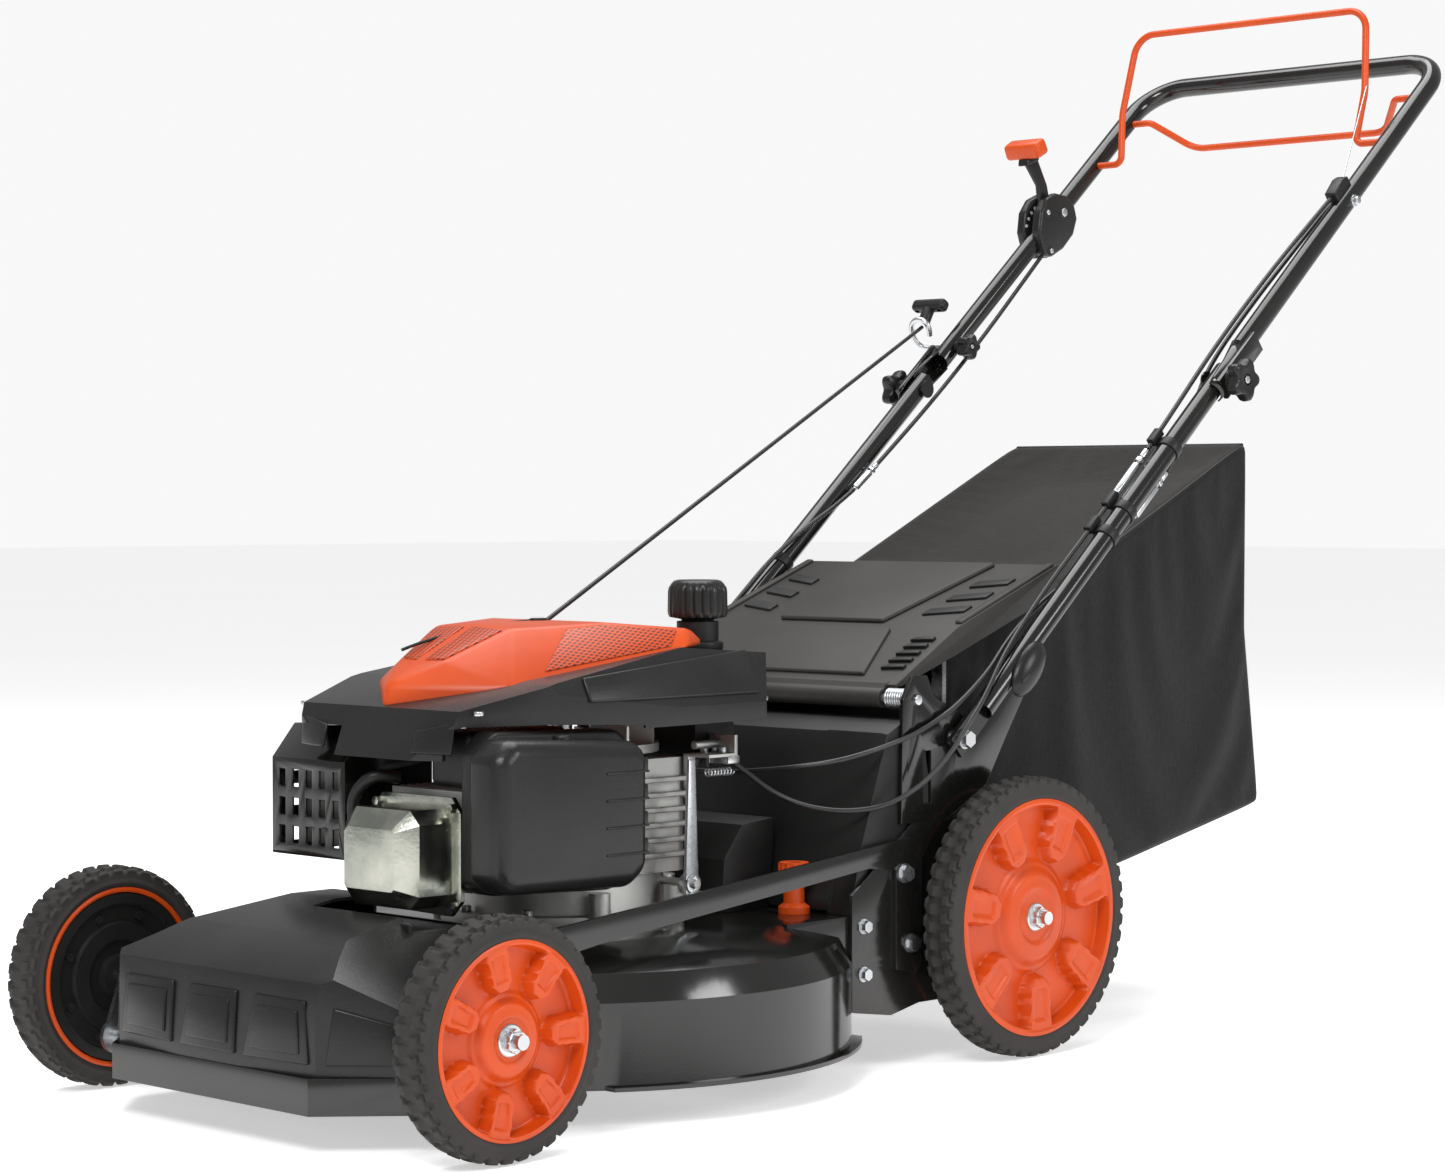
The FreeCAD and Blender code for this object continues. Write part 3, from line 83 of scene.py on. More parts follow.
# ------------------------------------------------------------------ materials
class Socket:
    """A shader node's output. Sums, products and comparisons of sockets add their Math nodes."""

    def __init__(self, graph, output):
        self.graph, self.output = graph, output

    def _math(self, operation, *values):
        return self.graph.add("ShaderNodeMath", {"operation": operation}, dict(enumerate(values)))

    def __add__(self, other):
        return self._math("ADD", self, other)

    def __radd__(self, other):
        return self._math("ADD", other, self)

    def __sub__(self, other):
        return self._math("SUBTRACT", self, other)

    def __rsub__(self, other):
        return self._math("SUBTRACT", other, self)

    def __mul__(self, other):
        return self._math("MULTIPLY", self, other)

    def __rmul__(self, other):
        return self._math("MULTIPLY", other, self)

    def __neg__(self):
        return -1.0 * self

    def __gt__(self, other):
        return self._math("GREATER_THAN", self, other)

    def sine(self):
        return self._math("SINE", self)

    def lowest(self, other):
        return self._math("MINIMUM", self, other)

    def highest(self, other):
        return self._math("MAXIMUM", self, other)


class Graph:
    """The nodes of a material or of the world."""

    def __init__(self, tree):
        self.tree = tree

    def add(self, kind, settings=None, inputs=None, output=0):
        """A node of one type, its settings first and then its sockets' values or links. Gives one output."""
        node = self.tree.nodes.new(kind)
        for name, value in (settings or {}).items():
            setattr(node, name, value)
        self.fill(node, inputs or {})
        return Socket(self, node.outputs[output])

    def fill(self, node, inputs):
        """Values or links for some of a node's sockets."""
        for name, value in inputs.items():
            if isinstance(value, Socket):
                self.tree.links.new(value.output, node.inputs[name])
            else:
                node.inputs[name].default_value = value


class Surface(Graph):
    """A material whose patterns lie on object coordinates, in metres."""

    def __init__(self, name, roughness=0.5, metallic=0.0, specular=0.5):
        self.material = bpy.data.materials.new(name)
        self.material.use_nodes = True
        super().__init__(self.material.node_tree)
        self.shader = self.tree.nodes["Principled BSDF"]
        self.fill(self.shader, {"Metallic": metallic, "Roughness": roughness, "Specular IOR Level": specular})
        self.place = self.add("ShaderNodeTexCoord", output="Object")

    def axes(self):
        return [self.add("ShaderNodeSeparateXYZ", inputs={"Vector": self.place}, output=axis) for axis in "XYZ"]

    def noise(self, scale, detail=4.0, rough=0.55, stretch=None):
        place = self.place
        if stretch:
            place = self.add("ShaderNodeMapping", inputs={"Vector": place, "Scale": stretch})
        return self.add("ShaderNodeTexNoise",
                        inputs={"Vector": place, "Scale": scale, "Detail": detail, "Roughness": rough})

    def shade(self, value, low, high, dark, light):
        """A colour from dark, where value is low, to light, where it is high."""
        share = self.add("ShaderNodeMapRange", inputs={"Value": value, "From Min": low, "From Max": high})
        return self.add("ShaderNodeMix", {"data_type": "RGBA"}, {0: share, 6: (*dark, 1), 7: (*light, 1)}, 2)

    def bump(self, height, strength, distance=0.001):
        return self.add("ShaderNodeBump", inputs={"Height": height, "Strength": strength, "Distance": distance})

    def finished(self, colour, roughness=None, normal=None):
        """The material, once its colour and, where it has them, its roughness and relief are linked."""
        links = {"Base Color": colour, "Roughness": roughness, "Normal": normal}
        self.fill(self.shader, {name: value for name, value in links.items() if value is not None})
        return self.material


def powder_coat():
    """Glossy black powder coat, with the faint orange peel that it has."""
    s = Surface("black powder coat", specular=0.6)
    grain, broad = s.noise(520, 2), s.noise(7, 3)
    return s.finished(s.shade(broad, 0.3, 0.7, (0.005, 0.005, 0.0047), (0.009, 0.0088, 0.008)),
                      grain * 0.05 + broad * 0.10 + 0.07, s.bump(grain, 0.05, 0.0003))


def moulded_black(name, dark, light, rough, grain_scale=1100):
    """Black plastic with a fine moulded grain."""
    s = Surface(name, specular=0.3)
    grain, broad = s.noise(grain_scale, 2), s.noise(9, 3)
    return s.finished(s.shade(broad, 0.3, 0.7, dark, light), grain * 0.16 + (rough - 0.08),
                      s.bump(grain, 0.3, 0.0004))


def moulded_orange():
    """Bright orange plastic, a little glossy."""
    s = Surface("orange moulded plastic", specular=0.35)
    grain, broad = s.noise(800, 2), s.noise(11, 3)
    return s.finished(s.shade(broad, 0.3, 0.7, (0.50, 0.050, 0.002), (0.58, 0.066, 0.004)),
                      grain * 0.10 + broad * 0.08 + 0.28, s.bump(grain, 0.16, 0.0003))


def tyre_rubber():
    """Dull rubber, greyer in patches."""
    s = Surface("tyre rubber", specular=0.3)
    grain, broad = s.noise(600, 3), s.noise(14, 4)
    return s.finished(s.shade(broad, 0.25, 0.75, (0.020, 0.0185, 0.017), (0.038, 0.035, 0.033)),
                      broad * 0.2 + 0.62, s.bump(grain, 0.4, 0.0005))


def metal(name, dark, light, rough, grain_scale=300, relief=0.1):
    """Bare or plated metal with a fine grain."""
    s = Surface(name, metallic=1.0)
    grain, broad = s.noise(grain_scale, 3), s.noise(12, 3)
    return s.finished(s.shade(broad, 0.3, 0.7, dark, light), grain * 0.2 + (rough - 0.1),
                      s.bump(grain, relief, 0.0005))


def cable_sheath():
    """Smooth black sheath of the cables and of the rope."""
    s = Surface("cable sheath")
    broad = s.noise(40, 2)
    return s.finished(s.shade(broad, 0.3, 0.7, (0.008, 0.008, 0.008), (0.014, 0.014, 0.014)), broad * 0.15 + 0.3)


def bag_mesh(name, dark, light):
    """Close woven mesh: fine crossed threads, broken up so that no two runs are alike."""
    s = Surface(name, specular=0.2)
    s.fill(s.shader, {"Sheen Weight": 0.12, "Sheen Roughness": 0.4})
    along = s.noise(90, 3, 0.7, stretch=(9, 9, 0.9))
    upward = s.noise(90, 3, 0.7, stretch=(0.9, 0.9, 9))
    broad = s.noise(5, 5)
    weave = along.highest(upward)
    return s.finished(s.shade(weave * 0.75 + broad * 0.25, 0.42, 0.66, dark, light), broad * 0.15 + 0.76,
                      s.bump(weave, 0.7, 0.0008))


def zinc_cover():
    """Yellow and green tinged zinc of the pressed valve cover."""
    s = Surface("zinc plated cover", metallic=1.0)
    broad, grain = s.noise(22, 4), s.noise(300, 2)
    return s.finished(s.shade(broad, 0.35, 0.65, (0.30, 0.32, 0.28), (0.55, 0.55, 0.48)), broad * 0.25 + 0.12,
                      s.bump(broad * 0.8 + grain * 0.2, 0.25, 0.002))


def inlet_mesh():
    """Orange plastic with the diamond mesh of the air inlets, whose threads cross on two slants. The holes between
    the threads are painted shade: a dark orange that stands in for the shadow inside the cover.
    """
    s = Surface("starter mesh", 0.4)
    x, y, z = s.axes()
    across = (x - z) * 1.2
    first = ((across + y * 0.8) * 900.0).sine()
    second = ((across - y * 0.8) * 900.0).sine()
    hole_shade = first.lowest(second) > -0.30
    # Painted shade: the holes of the mesh get a dark orange in place of the shadow inside them.
    return s.finished(s.shade(hole_shade, 0.0, 1.0, (0.54, 0.058, 0.004), (0.12, 0.012, 0.002)),
                      normal=s.bump(-hole_shade, 0.8, 0.0012))


BLACK = powder_coat()
PLASTIC = moulded_black("black moulded plastic", (0.007, 0.0069, 0.0067), (0.013, 0.0127, 0.0123), 0.42)
SATIN = moulded_black("satin black plastic", (0.010, 0.0099, 0.0097), (0.017, 0.0168, 0.0165), 0.30, 700)
DOOR = moulded_black("door plastic", (0.026, 0.0245, 0.023), (0.038, 0.0355, 0.033), 0.5, 900)
ORANGE = moulded_orange()
RUBBER = tyre_rubber()
STEEL = metal("dark steel", (0.20, 0.20, 0.19), (0.30, 0.30, 0.29), 0.45, 200)
ZINC = metal("zinc plated steel", (0.48, 0.50, 0.52), (0.66, 0.67, 0.68), 0.3, 400, 0.04)
CAST = metal("cast alloy", (0.42, 0.42, 0.41), (0.56, 0.56, 0.54), 0.5, 500, 0.3)
SHEATH = cable_sheath()
FABRIC = bag_mesh("bag side mesh", (0.006, 0.006, 0.006), (0.016, 0.016, 0.0155))
TOP_FABRIC = bag_mesh("bag top cloth", (0.012, 0.011, 0.010), (0.026, 0.024, 0.022))
VALVE = zinc_cover()
COPPER = metal("copper pipe", (0.40, 0.16, 0.08), (0.55, 0.24, 0.13), 0.3)
INLET = inlet_mesh()
DOT = moulded_black("white marks", (0.55, 0.55, 0.55), (0.6, 0.6, 0.6), 0.6)

NODE_MATERIALS = {
    BLACK: "deck_shell side_plates handle_brackets rope_guide lower_tubes upper_handle height_lever "
           "muffler_guard",
    PLASTIC: "rear_housing air_cleaner_base engine_shroud fuel_tank cable_stop spark_plug_lead "
             "star_knobs",
    SATIN: "front_hood air_cleaner_cover fuel_cap handle_latches lever_housing speed_lever",
    DOOR: "rear_door",
    ORANGE: "rim_front_left rim_front_right rim_rear_left rim_rear_right starter_cover hose_port starter_pulley "
            "stop_bail drive_bail",
    RUBBER: "tyre_front_left tyre_front_right tyre_rear_left tyre_rear_right starter_grip drive_belt",
    FABRIC: "grass_bag",
    SHEATH: "stop_cable drive_cable speed_cable starter_rope",
    CAST: "crankcase cylinder gearbox carburettor flywheel",
    VALVE: "valve_cover",
    ZINC: "governor_arm front_axle rear_axle deck_bolts cable_adjusters hinge_rod axle_bushes crankshaft bag_frame",
    STEEL: "blade muffler",
}
for material, names in NODE_MATERIALS.items():
    for name in names.split():
        NODES[name].data.materials.clear()
        NODES[name].data.materials.append(material)


# ------------------------------------------------------------------ stage
WHITE = (1.0, 1.0, 1.0, 1)
BACKDROP = 0.94
ROOM_LIGHT = 0.42
FLOOR_GLOW = 0.50


def pale_floor():
    """A wide floor that glows a little, so that it stays pale far from the lamps."""
    bpy.ops.mesh.primitive_plane_add(size=60)
    floor = bpy.context.object
    floor.name = "floor"
    s = Surface("pale floor", 0.8, specular=0.1)
    s.fill(s.shader, {"Emission Color": WHITE, "Emission Strength": FLOOR_GLOW})
    floor.data.materials.append(s.finished(s.shade(s.noise(0.6, 2), 0.3, 0.7, (0.90,) * 3, (0.93,) * 3)))


def studio():
    """A white backdrop that lights the room less than it shows."""
    world = bpy.data.worlds.new("studio")
    bpy.context.scene.world = world
    world.use_nodes = True
    graph = Graph(world.node_tree)
    room = graph.add("ShaderNodeBackground", inputs={"Color": WHITE, "Strength": ROOM_LIGHT})
    backdrop = graph.add("ShaderNodeBackground", inputs={"Color": WHITE, "Strength": BACKDROP})
    seen = graph.add("ShaderNodeLightPath", output="Is Camera Ray")
    both = graph.add("ShaderNodeMixShader", inputs={0: seen, 1: room, 2: backdrop})
    graph.fill(world.node_tree.nodes["World Output"], {"Surface": both})


def lamp(name, place, target, size, power):
    """A square soft light."""
    data = bpy.data.lights.new(name, "AREA")
    data.shape, data.size, data.energy = "SQUARE", size, power
    obj = bpy.data.objects.new(name, data)
    bpy.context.scene.collection.objects.link(obj)
    obj.location = place
    obj.rotation_euler = (Vector(target) - Vector(place)).to_track_quat("-Z", "Y").to_euler()


bpy.context.scene.view_settings.view_transform = "Standard"
bpy.context.scene.view_settings.look = "None"
pale_floor()
studio()
lamp("key", (1.6, -2.9, 2.9), (0, -0.1, 0.3), 1.3, 85)
lamp("side", (3.4, 0.9, 1.9), (0, 0.1, 0.35), 1.2, 45)
lamp("top", (-0.6, 0.4, 3.6), (0, 0, 0.4), 2.6, 105)


# ------------------------------------------------------------------ mesh helpers
def link(name, mesh, *materials):
    """A smooth-shaded object for a mesh."""
    obj = bpy.data.objects.new(name, mesh)
    bpy.context.scene.collection.objects.link(obj)
    for material in materials:
        mesh.materials.append(material)
    for polygon in mesh.polygons:
        polygon.use_smooth = True
    return obj


def from_bmesh(name, bm, *materials):
    """An object whose faces point outwards, from a bmesh, which is freed."""
    bmesh.ops.recalc_face_normals(bm, faces=bm.faces)
    mesh = bpy.data.meshes.new(name)
    bm.to_mesh(mesh)
    bm.free()
    return link(name, mesh, *materials)


def sharpen(obj, degrees):
    """Smooth shading that keeps edges sharper than this angle."""
    obj.data.set_sharp_from_angle(angle=math.radians(degrees))
    return obj


def grid(name, rows, *materials, wrap=True):
    """A surface through rows of points. wrap joins each row's end to its start."""
    width = len(rows[0])
    bm = bmesh.new()
    verts = [[bm.verts.new(point) for point in row] for row in rows]
    for low, high in zip(verts, verts[1:]):
        for j in range(width if wrap else width - 1):
            k = (j + 1) % width
            bm.faces.new((low[j], low[k], high[k], high[j]))
    return from_bmesh(name, bm, *materials)


def lathe_x(name, profile, centre, side, material, steps=72):
    """Profile of (radius mm, depth mm inwards) turned about the X line through centre."""
    rows = [[on_wheel(centre, side, radius, 2 * math.pi * k / steps, depth) for k in range(steps)]
            for radius, depth in profile]
    return sharpen(grid(name, rows, material), 28)


def ease(value, low, high):
    """0 below low, 1 above high and smooth between them."""
    share = min(max((value - low) / (high - low), 0.0), 1.0)
    return share * share * (3 - 2 * share)


def join(name, objects):
    """One object from several meshes, with their materials kept."""
    bm = bmesh.new()
    materials = []
    for obj in objects:
        mesh = bpy.data.meshes.new_from_object(obj.evaluated_get(bpy.context.evaluated_depsgraph_get()))
        mesh.transform(obj.matrix_world)
        slots = []
        for material in mesh.materials:
            if material not in materials:
                materials.append(material)
            slots.append(materials.index(material))
        for polygon in mesh.polygons:
            polygon.material_index = slots[polygon.material_index] if slots else 0
        bm.from_mesh(mesh)
        bpy.data.meshes.remove(mesh)
        bpy.data.objects.remove(obj)
    mesh = bpy.data.meshes.new(name)
    bm.to_mesh(mesh)
    bm.free()
    obj = bpy.data.objects.new(name, mesh)
    bpy.context.scene.collection.objects.link(obj)
    for material in materials:
        mesh.materials.append(material)
    return obj


# ------------------------------------------------------------------ shaping helpers
def only(obj):
    """Select this object alone and make it active."""
    bpy.ops.object.select_all(action="DESELECT")
    obj.select_set(True)
    bpy.context.view_layer.objects.active = obj


def dressed(obj, material, edge=0.0, segments=3, angle=28.0):
    """Place applied, edges rounded by edge mm, smooth shading, material set."""
    only(obj)
    bpy.ops.object.transform_apply(location=True, rotation=True, scale=True)
    obj.data.materials.clear()
    obj.data.materials.append(material)
    if edge:
        bevel = obj.modifiers.new("edges", "BEVEL")
        bevel.width = edge / 1000
        bevel.segments = segments
        bevel.limit_method = "ANGLE"
        bevel.angle_limit = math.radians(angle)
        bevel.use_clamp_overlap = True
        bevel.harden_normals = False
        bpy.ops.object.modifier_apply(modifier=bevel.name)
    bpy.ops.object.shade_smooth_by_angle(angle=math.radians(38))
    return obj


def block(name, low, high, material, edge=1.5):
    """A box between two corners in mm of the drawing's frame, with rounded edges."""
    a, b = at(*low), at(*high)
    bpy.ops.mesh.primitive_cube_add(size=1, location=(a + b) / 2)
    obj = bpy.context.object
    obj.name = name
    obj.scale = [abs(v) for v in b - a]
    return dressed(obj, material, edge)


def drum(name, start, end, radius, material, edge=0.8, sides=48):
    """A round bar between two places in mm."""
    a, b = at(*start), at(*end)
    bpy.ops.mesh.primitive_cylinder_add(vertices=sides, radius=radius / 1000, depth=(b - a).length,
                                        location=(a + b) / 2)
    obj = bpy.context.object
    obj.name = name
    obj.rotation_euler = (b - a).to_track_quat("Z", "Y").to_euler()
    return dressed(obj, material, edge, 3, 40)


def extruded(name, corners, step, material, edge):
    """A flat face on corners drawn out by a step, both in metres, with its edges rounded by edge mm."""
    mesh = bpy.data.meshes.new(name)
    mesh.from_pydata(corners, [], [range(len(corners))])
    obj = link(name, mesh, material)
    only(obj)
    bpy.ops.object.mode_set(mode="EDIT")
    bpy.ops.mesh.select_all(action="SELECT")
    bpy.ops.mesh.extrude_region_move(TRANSFORM_OT_translate={"value": step})
    bpy.ops.mesh.select_all(action="SELECT")
    bpy.ops.mesh.normals_make_consistent(inside=False)
    bpy.ops.object.mode_set(mode="OBJECT")
    return dressed(obj, material, edge)


def slab(name, outline, x0, x1, material, edge=1.5):
    """A flat piece from an outline of (Y, Z) in mm, between two X planes."""
    return extruded(name, [at(x0, y, z) for y, z in outline], Vector(((x1 - x0) / 1000, 0, 0)), material, edge)


def panel(name, corners, thick, material, edge):
    """A raised flat piece on corners in mm, sunk 1 mm and pushed out by thick along its own normal."""
    points = [at(*c) for c in corners]
    normal = (points[1] - points[0]).cross(points[2] - points[0]).normalized()
    return extruded(name, [p - normal * 0.001 for p in points], normal * (thick / 1000 + 0.001), material, edge)


def shape_of(node, name, material, edge, segments=3, angle=24.0):
    """A merged copy of a CAD node with its edges rounded like a moulding or a pressing."""
    source = NODES[node]
    obj = bpy.data.objects.new(name, source.data.copy())
    bpy.context.scene.collection.objects.link(obj)
    only(obj)
    bpy.ops.object.mode_set(mode="EDIT")
    bpy.ops.mesh.select_all(action="SELECT")
    bpy.ops.mesh.remove_doubles(threshold=0.00002)
    bpy.ops.mesh.dissolve_limited(angle_limit=math.radians(1.0))
    bpy.ops.object.mode_set(mode="OBJECT")
    dressed(obj, material, edge, segments, angle)
    return obj


def nurbs(name, points, closed=False, resolution=8):
    """A smooth line through places in mm, as a curve object."""
    curve = bpy.data.curves.new(name, "CURVE")
    curve.dimensions = "3D"
    spline = curve.splines.new("NURBS")
    spline.points.add(len(points) - 1)
    for point, place in zip(spline.points, points):
        point.co = (*at(*place), 1)
    spline.order_u = 3
    spline.use_endpoint_u = not closed
    spline.use_cyclic_u = closed
    spline.resolution_u = resolution
    obj = bpy.data.objects.new(name, curve)
    bpy.context.scene.collection.objects.link(obj)
    return obj


def thickened(obj, radius, resolution, material):
    """A curve made a capped round mesh, radius in mm."""
    obj.data.bevel_depth = radius / 1000
    obj.data.bevel_resolution = resolution
    obj.data.use_fill_caps = True
    only(obj)
    bpy.ops.object.convert(target="MESH")
    return dressed(bpy.context.object, material)


def wire(name, points, radius, material, closed=False):
    """A bent wire as a mesh, round a smooth line through places in mm."""
    return thickened(nurbs(name, points, closed), radius, 4, material)


def placed(piece, body, finish, *nodes):
    """Say which body a piece moves with and the CAD nodes that it stands for; its finish is not used."""
    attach(piece, body)
    if nodes:
        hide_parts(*nodes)
    return piece


# ------------------------------------------------------------------ wheels
PADS = 7
HUB_HOLE = 11.5
LUG_HEIGHT = 3.4
# Each row of lugs: its two edges as shares of the tread's width, its shift round the tyre and its lugs' length.
LUG_ROWS = ((0.10, 0.27, 0.0, 0.62), (0.30, 0.47, 0.5, 0.60), (0.53, 0.70, 0.0, 0.60), (0.73, 0.90, 0.5, 0.62))
# Depth of the moulded face under the pads, as (share of the rim's radius, mm).
FACE_DEPTHS = ((0.00, 8.0), (0.20, 8.0), (0.24, 6.0), (0.34, 7.0), (0.44, 13.0), (0.50, 15.5), (0.80, 15.5),
               (0.90, 15.0), (0.925, 14.0), (0.945, 1.6), (0.97, 1.0), (1.0, 1.8))


def along_table(table, value):
    """A table's value at a place, eased between its rows."""
    for (a, low), (b, high) in zip(table, table[1:]):
        if a <= value <= b:
            return low + (high - low) * ease(value, a, b)
    return table[-1][1]


def tread_height(turn, s, lugs):
    """Height 0..1 of the tyre's lugs at an angle in turns, s across the tread from 0 to 1."""
    best = 0.0
    for low, high, shift, wide in LUG_ROWS:
        phase = (turn * lugs + shift + (s - 0.5) * 0.5 * (1 if shift else -1)) % 1.0
        lug = ease(phase, 0.5 - wide / 2 - 0.06, 0.5 - wide / 2 + 0.04) * (
            1 - ease(phase, 0.5 + wide / 2 - 0.04, 0.5 + wide / 2 + 0.06))
        row = ease(s, low - 0.015, low + 0.015) * (1 - ease(s, high - 0.015, high + 0.015))
        best = max(best, lug * row)
    return best


def on_wheel(centre, side, radius, angle, depth):
    """A point of a wheel: radius and depth inwards in mm, and angle from the top."""
    return centre + Vector((-side * depth / 1000, radius / 1000 * math.sin(angle), radius / 1000 * math.cos(angle)))


def tyre(name, centre, side, radius, width, rim, lugs):
    """Tyre with four rows of lugs and a bead at each side of the rim."""
    profile = [(rim - 1, 3.5, None), (rim + 1.5, 1.2, None), (rim + 4, 0.9, None), (rim + 6.5, 1.6, None)]
    steps = 34
    for k in range(steps + 1):
        s = k / steps
        angle = math.pi * (s - 0.5)
        depth = width / 2 + (width / 2 - 2.2) * math.copysign(abs(math.sin(angle)) ** 0.62, angle)
        profile.append((radius - LUG_HEIGHT - 8.5 * (1 - math.cos(angle) ** 0.55), depth, s))
    profile += [(rim + 6.5, width - 1.6, None), (rim + 4, width - 0.9, None), (rim - 1, width - 3.5, None)]
    count = lugs * 11
    rows = []
    for r, depth, s in profile:
        lean = (depth / width - 0.5) * 2
        row = []
        for k in range(count):
            high = tread_height(k / count, s, lugs) * LUG_HEIGHT if s is not None else 0.0
            out = high * 0.45 * abs(lean) ** 3 * math.copysign(1, lean)
            row.append(on_wheel(centre, side, r + high * (1 - 0.35 * abs(lean) ** 3), 2 * math.pi * k / count,
                                min(max(depth + out, 0.3), width - 0.3)))
        rows.append(row)
    return sharpen(grid(name, rows, RUBBER), 40)


def rim_depth(r, angle, rim, phase):
    """Depth of the moulded wheel face, in mm inwards from the wheel's outer face, with its raised pads."""
    share = r / rim
    depth = along_table(FACE_DEPTHS, share)
    spacing = 2 * math.pi / PADS
    offset = (angle - phase + spacing / 2) % spacing - spacing / 2
    across = abs(offset) * share
    half = 0.118 + 0.052 * (share - 0.5)
    inner = 0.50 + 2.0 * max(0.0, across - 0.05) ** 1.2
    pad = (1 - ease(across, half - 0.004, half + 0.030)) * ease(share, inner - 0.022, inner + 0.022)
    if share < 0.96:
        depth = depth * (1 - pad) + (2.4 + 5.0 * max(0.0, 0.66 - share)) * pad
    half = 0.062 + 0.05 * (share - 0.6)
    hollow = 1 - ease(across, half - 0.004, half + 0.014)
    return depth + 2.2 * hollow * ease(share, 0.60, 0.625) * (1 - ease(share, 0.86, 0.885))


def wheel(name, outer, side, radius, width, rim, axle, phase, lugs):
    """Tyre, moulded face, back, inner cover with its bosses, and the washer, nut and bolt end of one wheel."""
    centre = at(side * outer, *axle)
    rubber = tyre("tyre_tread_" + name, centre, side, radius, width, rim, lugs)
    steps, rings = PADS * 40, 84
    rows = []
    for i in range(rings + 1):
        r = HUB_HOLE + (rim - HUB_HOLE) * i / rings
        turns = [2 * math.pi * k / steps for k in range(steps)]
        rows.append([on_wheel(centre, side, r, a, rim_depth(r, a, rim, phase)) for a in turns])
    face = sharpen(grid("wheel_face", rows, ORANGE), 50)
    back = lathe_x("wheel_back", [(rim - 0.2, 2), (rim - 0.2, width - 2.0), (rim - 2.5, width - 1.2),
                                  (rim - 4.5, width - 2.0), (rim - 5, width - 5)], centre, side, ORANGE, 120)
    cover = lathe_x("wheel_cover", [(rim - 5, width - 5), (rim - 6, width - 2.6), (rim * 0.82, width - 2.2),
                                    (rim * 0.80, width - 6), (rim * 0.62, width - 6.5), (rim * 0.60, width - 3),
                                    (rim * 0.42, width - 3), (rim * 0.40, width - 7), (rim * 0.26, width - 7),
                                    (rim * 0.24, width), (7, width)], centre, side, PLASTIC, 96)
    bosses = []
    for k in range(8):
        place = on_wheel(centre, side, 0.71 * rim, 2 * math.pi * (k + 0.5) / 8, 0)
        bosses.append(lathe_x("cover_boss", [(4.4, width - 7), (4.0, width - 3.4), (1.6, width - 3.2),
                                             (0.1, width - 3.8)], place, side, PLASTIC, 14))
    hub = lathe_x("hub", [(13.5, 8.4), (13.5, 6.6), (12.6, 5.8), (8, 5.6)], centre, side, ZINC, 40)
    washer = lathe_x("wheel_washer", [(13.6, 8.8), (13.6, 7.4), (13.0, 6.9), (6, 6.9)], centre, side, ZINC, 48)
    nut = hexagon(centre, side, 6.9, -1.2, 16.6)
    tip = lathe_x("bolt_tip", [(5.6, 0), (5.6, -6.5), (4.6, -7.6), (0.1, -7.6)], centre, side, ZINC, 24)
    whole = join("wheel_moulding_" + name, [face, back, cover, hub, washer, nut, tip] + bosses)
    placed(rubber, "wheel_" + name, "tyre", "tyre_" + name)
    placed(whole, "wheel_" + name, "orange_plastic", "rim_" + name)


def hexagon(centre, side, base, top, across):
    """A nut with chamfered corners, base and top as depths in mm."""
    bm = bmesh.new()
    rings = []
    for depth, scale in ((base, 1.0), (top + 1.1, 1.0), (top, 0.90), (top, 0.45)):
        ring = []
        for k in range(24):
            a = 2 * math.pi * k / 24
            flat = across / 2 / max(math.cos((a + math.pi / 6) % (math.pi / 3) - math.pi / 6), 0.5)
            r = flat * scale if scale == 1.0 else min(flat, across / 2 * 1.06) * scale
            ring.append(bm.verts.new(on_wheel(centre, side, r, a, depth)))
        rings.append(ring)
    for low, high in zip(rings, rings[1:]):
        for k in range(24):
            bm.faces.new((low[k], low[(k + 1) % 24], high[(k + 1) % 24], high[k]))
    bm.faces.new(rings[-1])
    return sharpen(from_bmesh("nut", bm, ZINC), 25)


def wheels():
    """Two small front wheels and two large rear ones, each turned to its own angle."""
    front = (288.0, 101.6, 42.0, 82.5, (0.0, 101.6), 38)
    rear = (257.6, 136.0, 40.0, 114.8, (715.3, 136.0), 50)
    for name, side, turned, (outer, radius, width, rim, axle, lugs) in (
            ("front_left", 1, -14, front), ("front_right", -1, 10, front), ("rear_left", 1, 24, rear),
            ("rear_right", -1, 3, rear)):
        wheel(name, outer, side, radius, width, rim, axle, math.radians(turned), lugs)


wheels()


# ------------------------------------------------------------------ the handle's line
HANDLE_ANGLE = math.radians(40.5)
HANDLE_PIVOT = (655.0, 309.4)
LOWER_LENGTH = 547.0
TUBE_X = 207.0
TUBE_R = 11.1


def on_handle(along, above=0.0):
    """(Y, Z) in mm of a point along the handle from its pivot, and above it."""
    along_y, along_z = math.cos(HANDLE_ANGLE), math.sin(HANDLE_ANGLE)
    return (HANDLE_PIVOT[0] + along * along_y - above * along_z,
            HANDLE_PIVOT[1] + along * along_z + above * along_y)


def beside(along, above, out, side=1):
    """A point near a side tube: along the handle, above its middle line and outwards from it."""
    return (side * (TUBE_X + out), *on_handle(along, above))


FOLD = on_handle(LOWER_LENGTH)


# ------------------------------------------------------------------ cables and rope
ADJUST_A, ADJUST_B = 345.0, 420.0
FAR_A, FAR_B = 375.0, 425.0
GUARD_ALONG = LOWER_LENGTH + 300
LEVER_ALONG = LOWER_LENGTH + 306


def cable(name, points, diameter, across, nodes=(), material=SHEATH):
    """A cable on the smooth line of its route, baked into place, with the CAD nodes that it stands for hidden."""
    obj = nurbs(name, points, resolution=10)
    path = [tuple(v.co) for v in bpy.data.meshes.new_from_object(obj).vertices]
    obj = thickened(obj, diameter / 2, 3, material)
    tuple(at(*across[0]))
    tuple(at(*across[1]))
    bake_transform(obj)
    if nodes:
        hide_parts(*nodes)
    tuple(at(*points[0]))


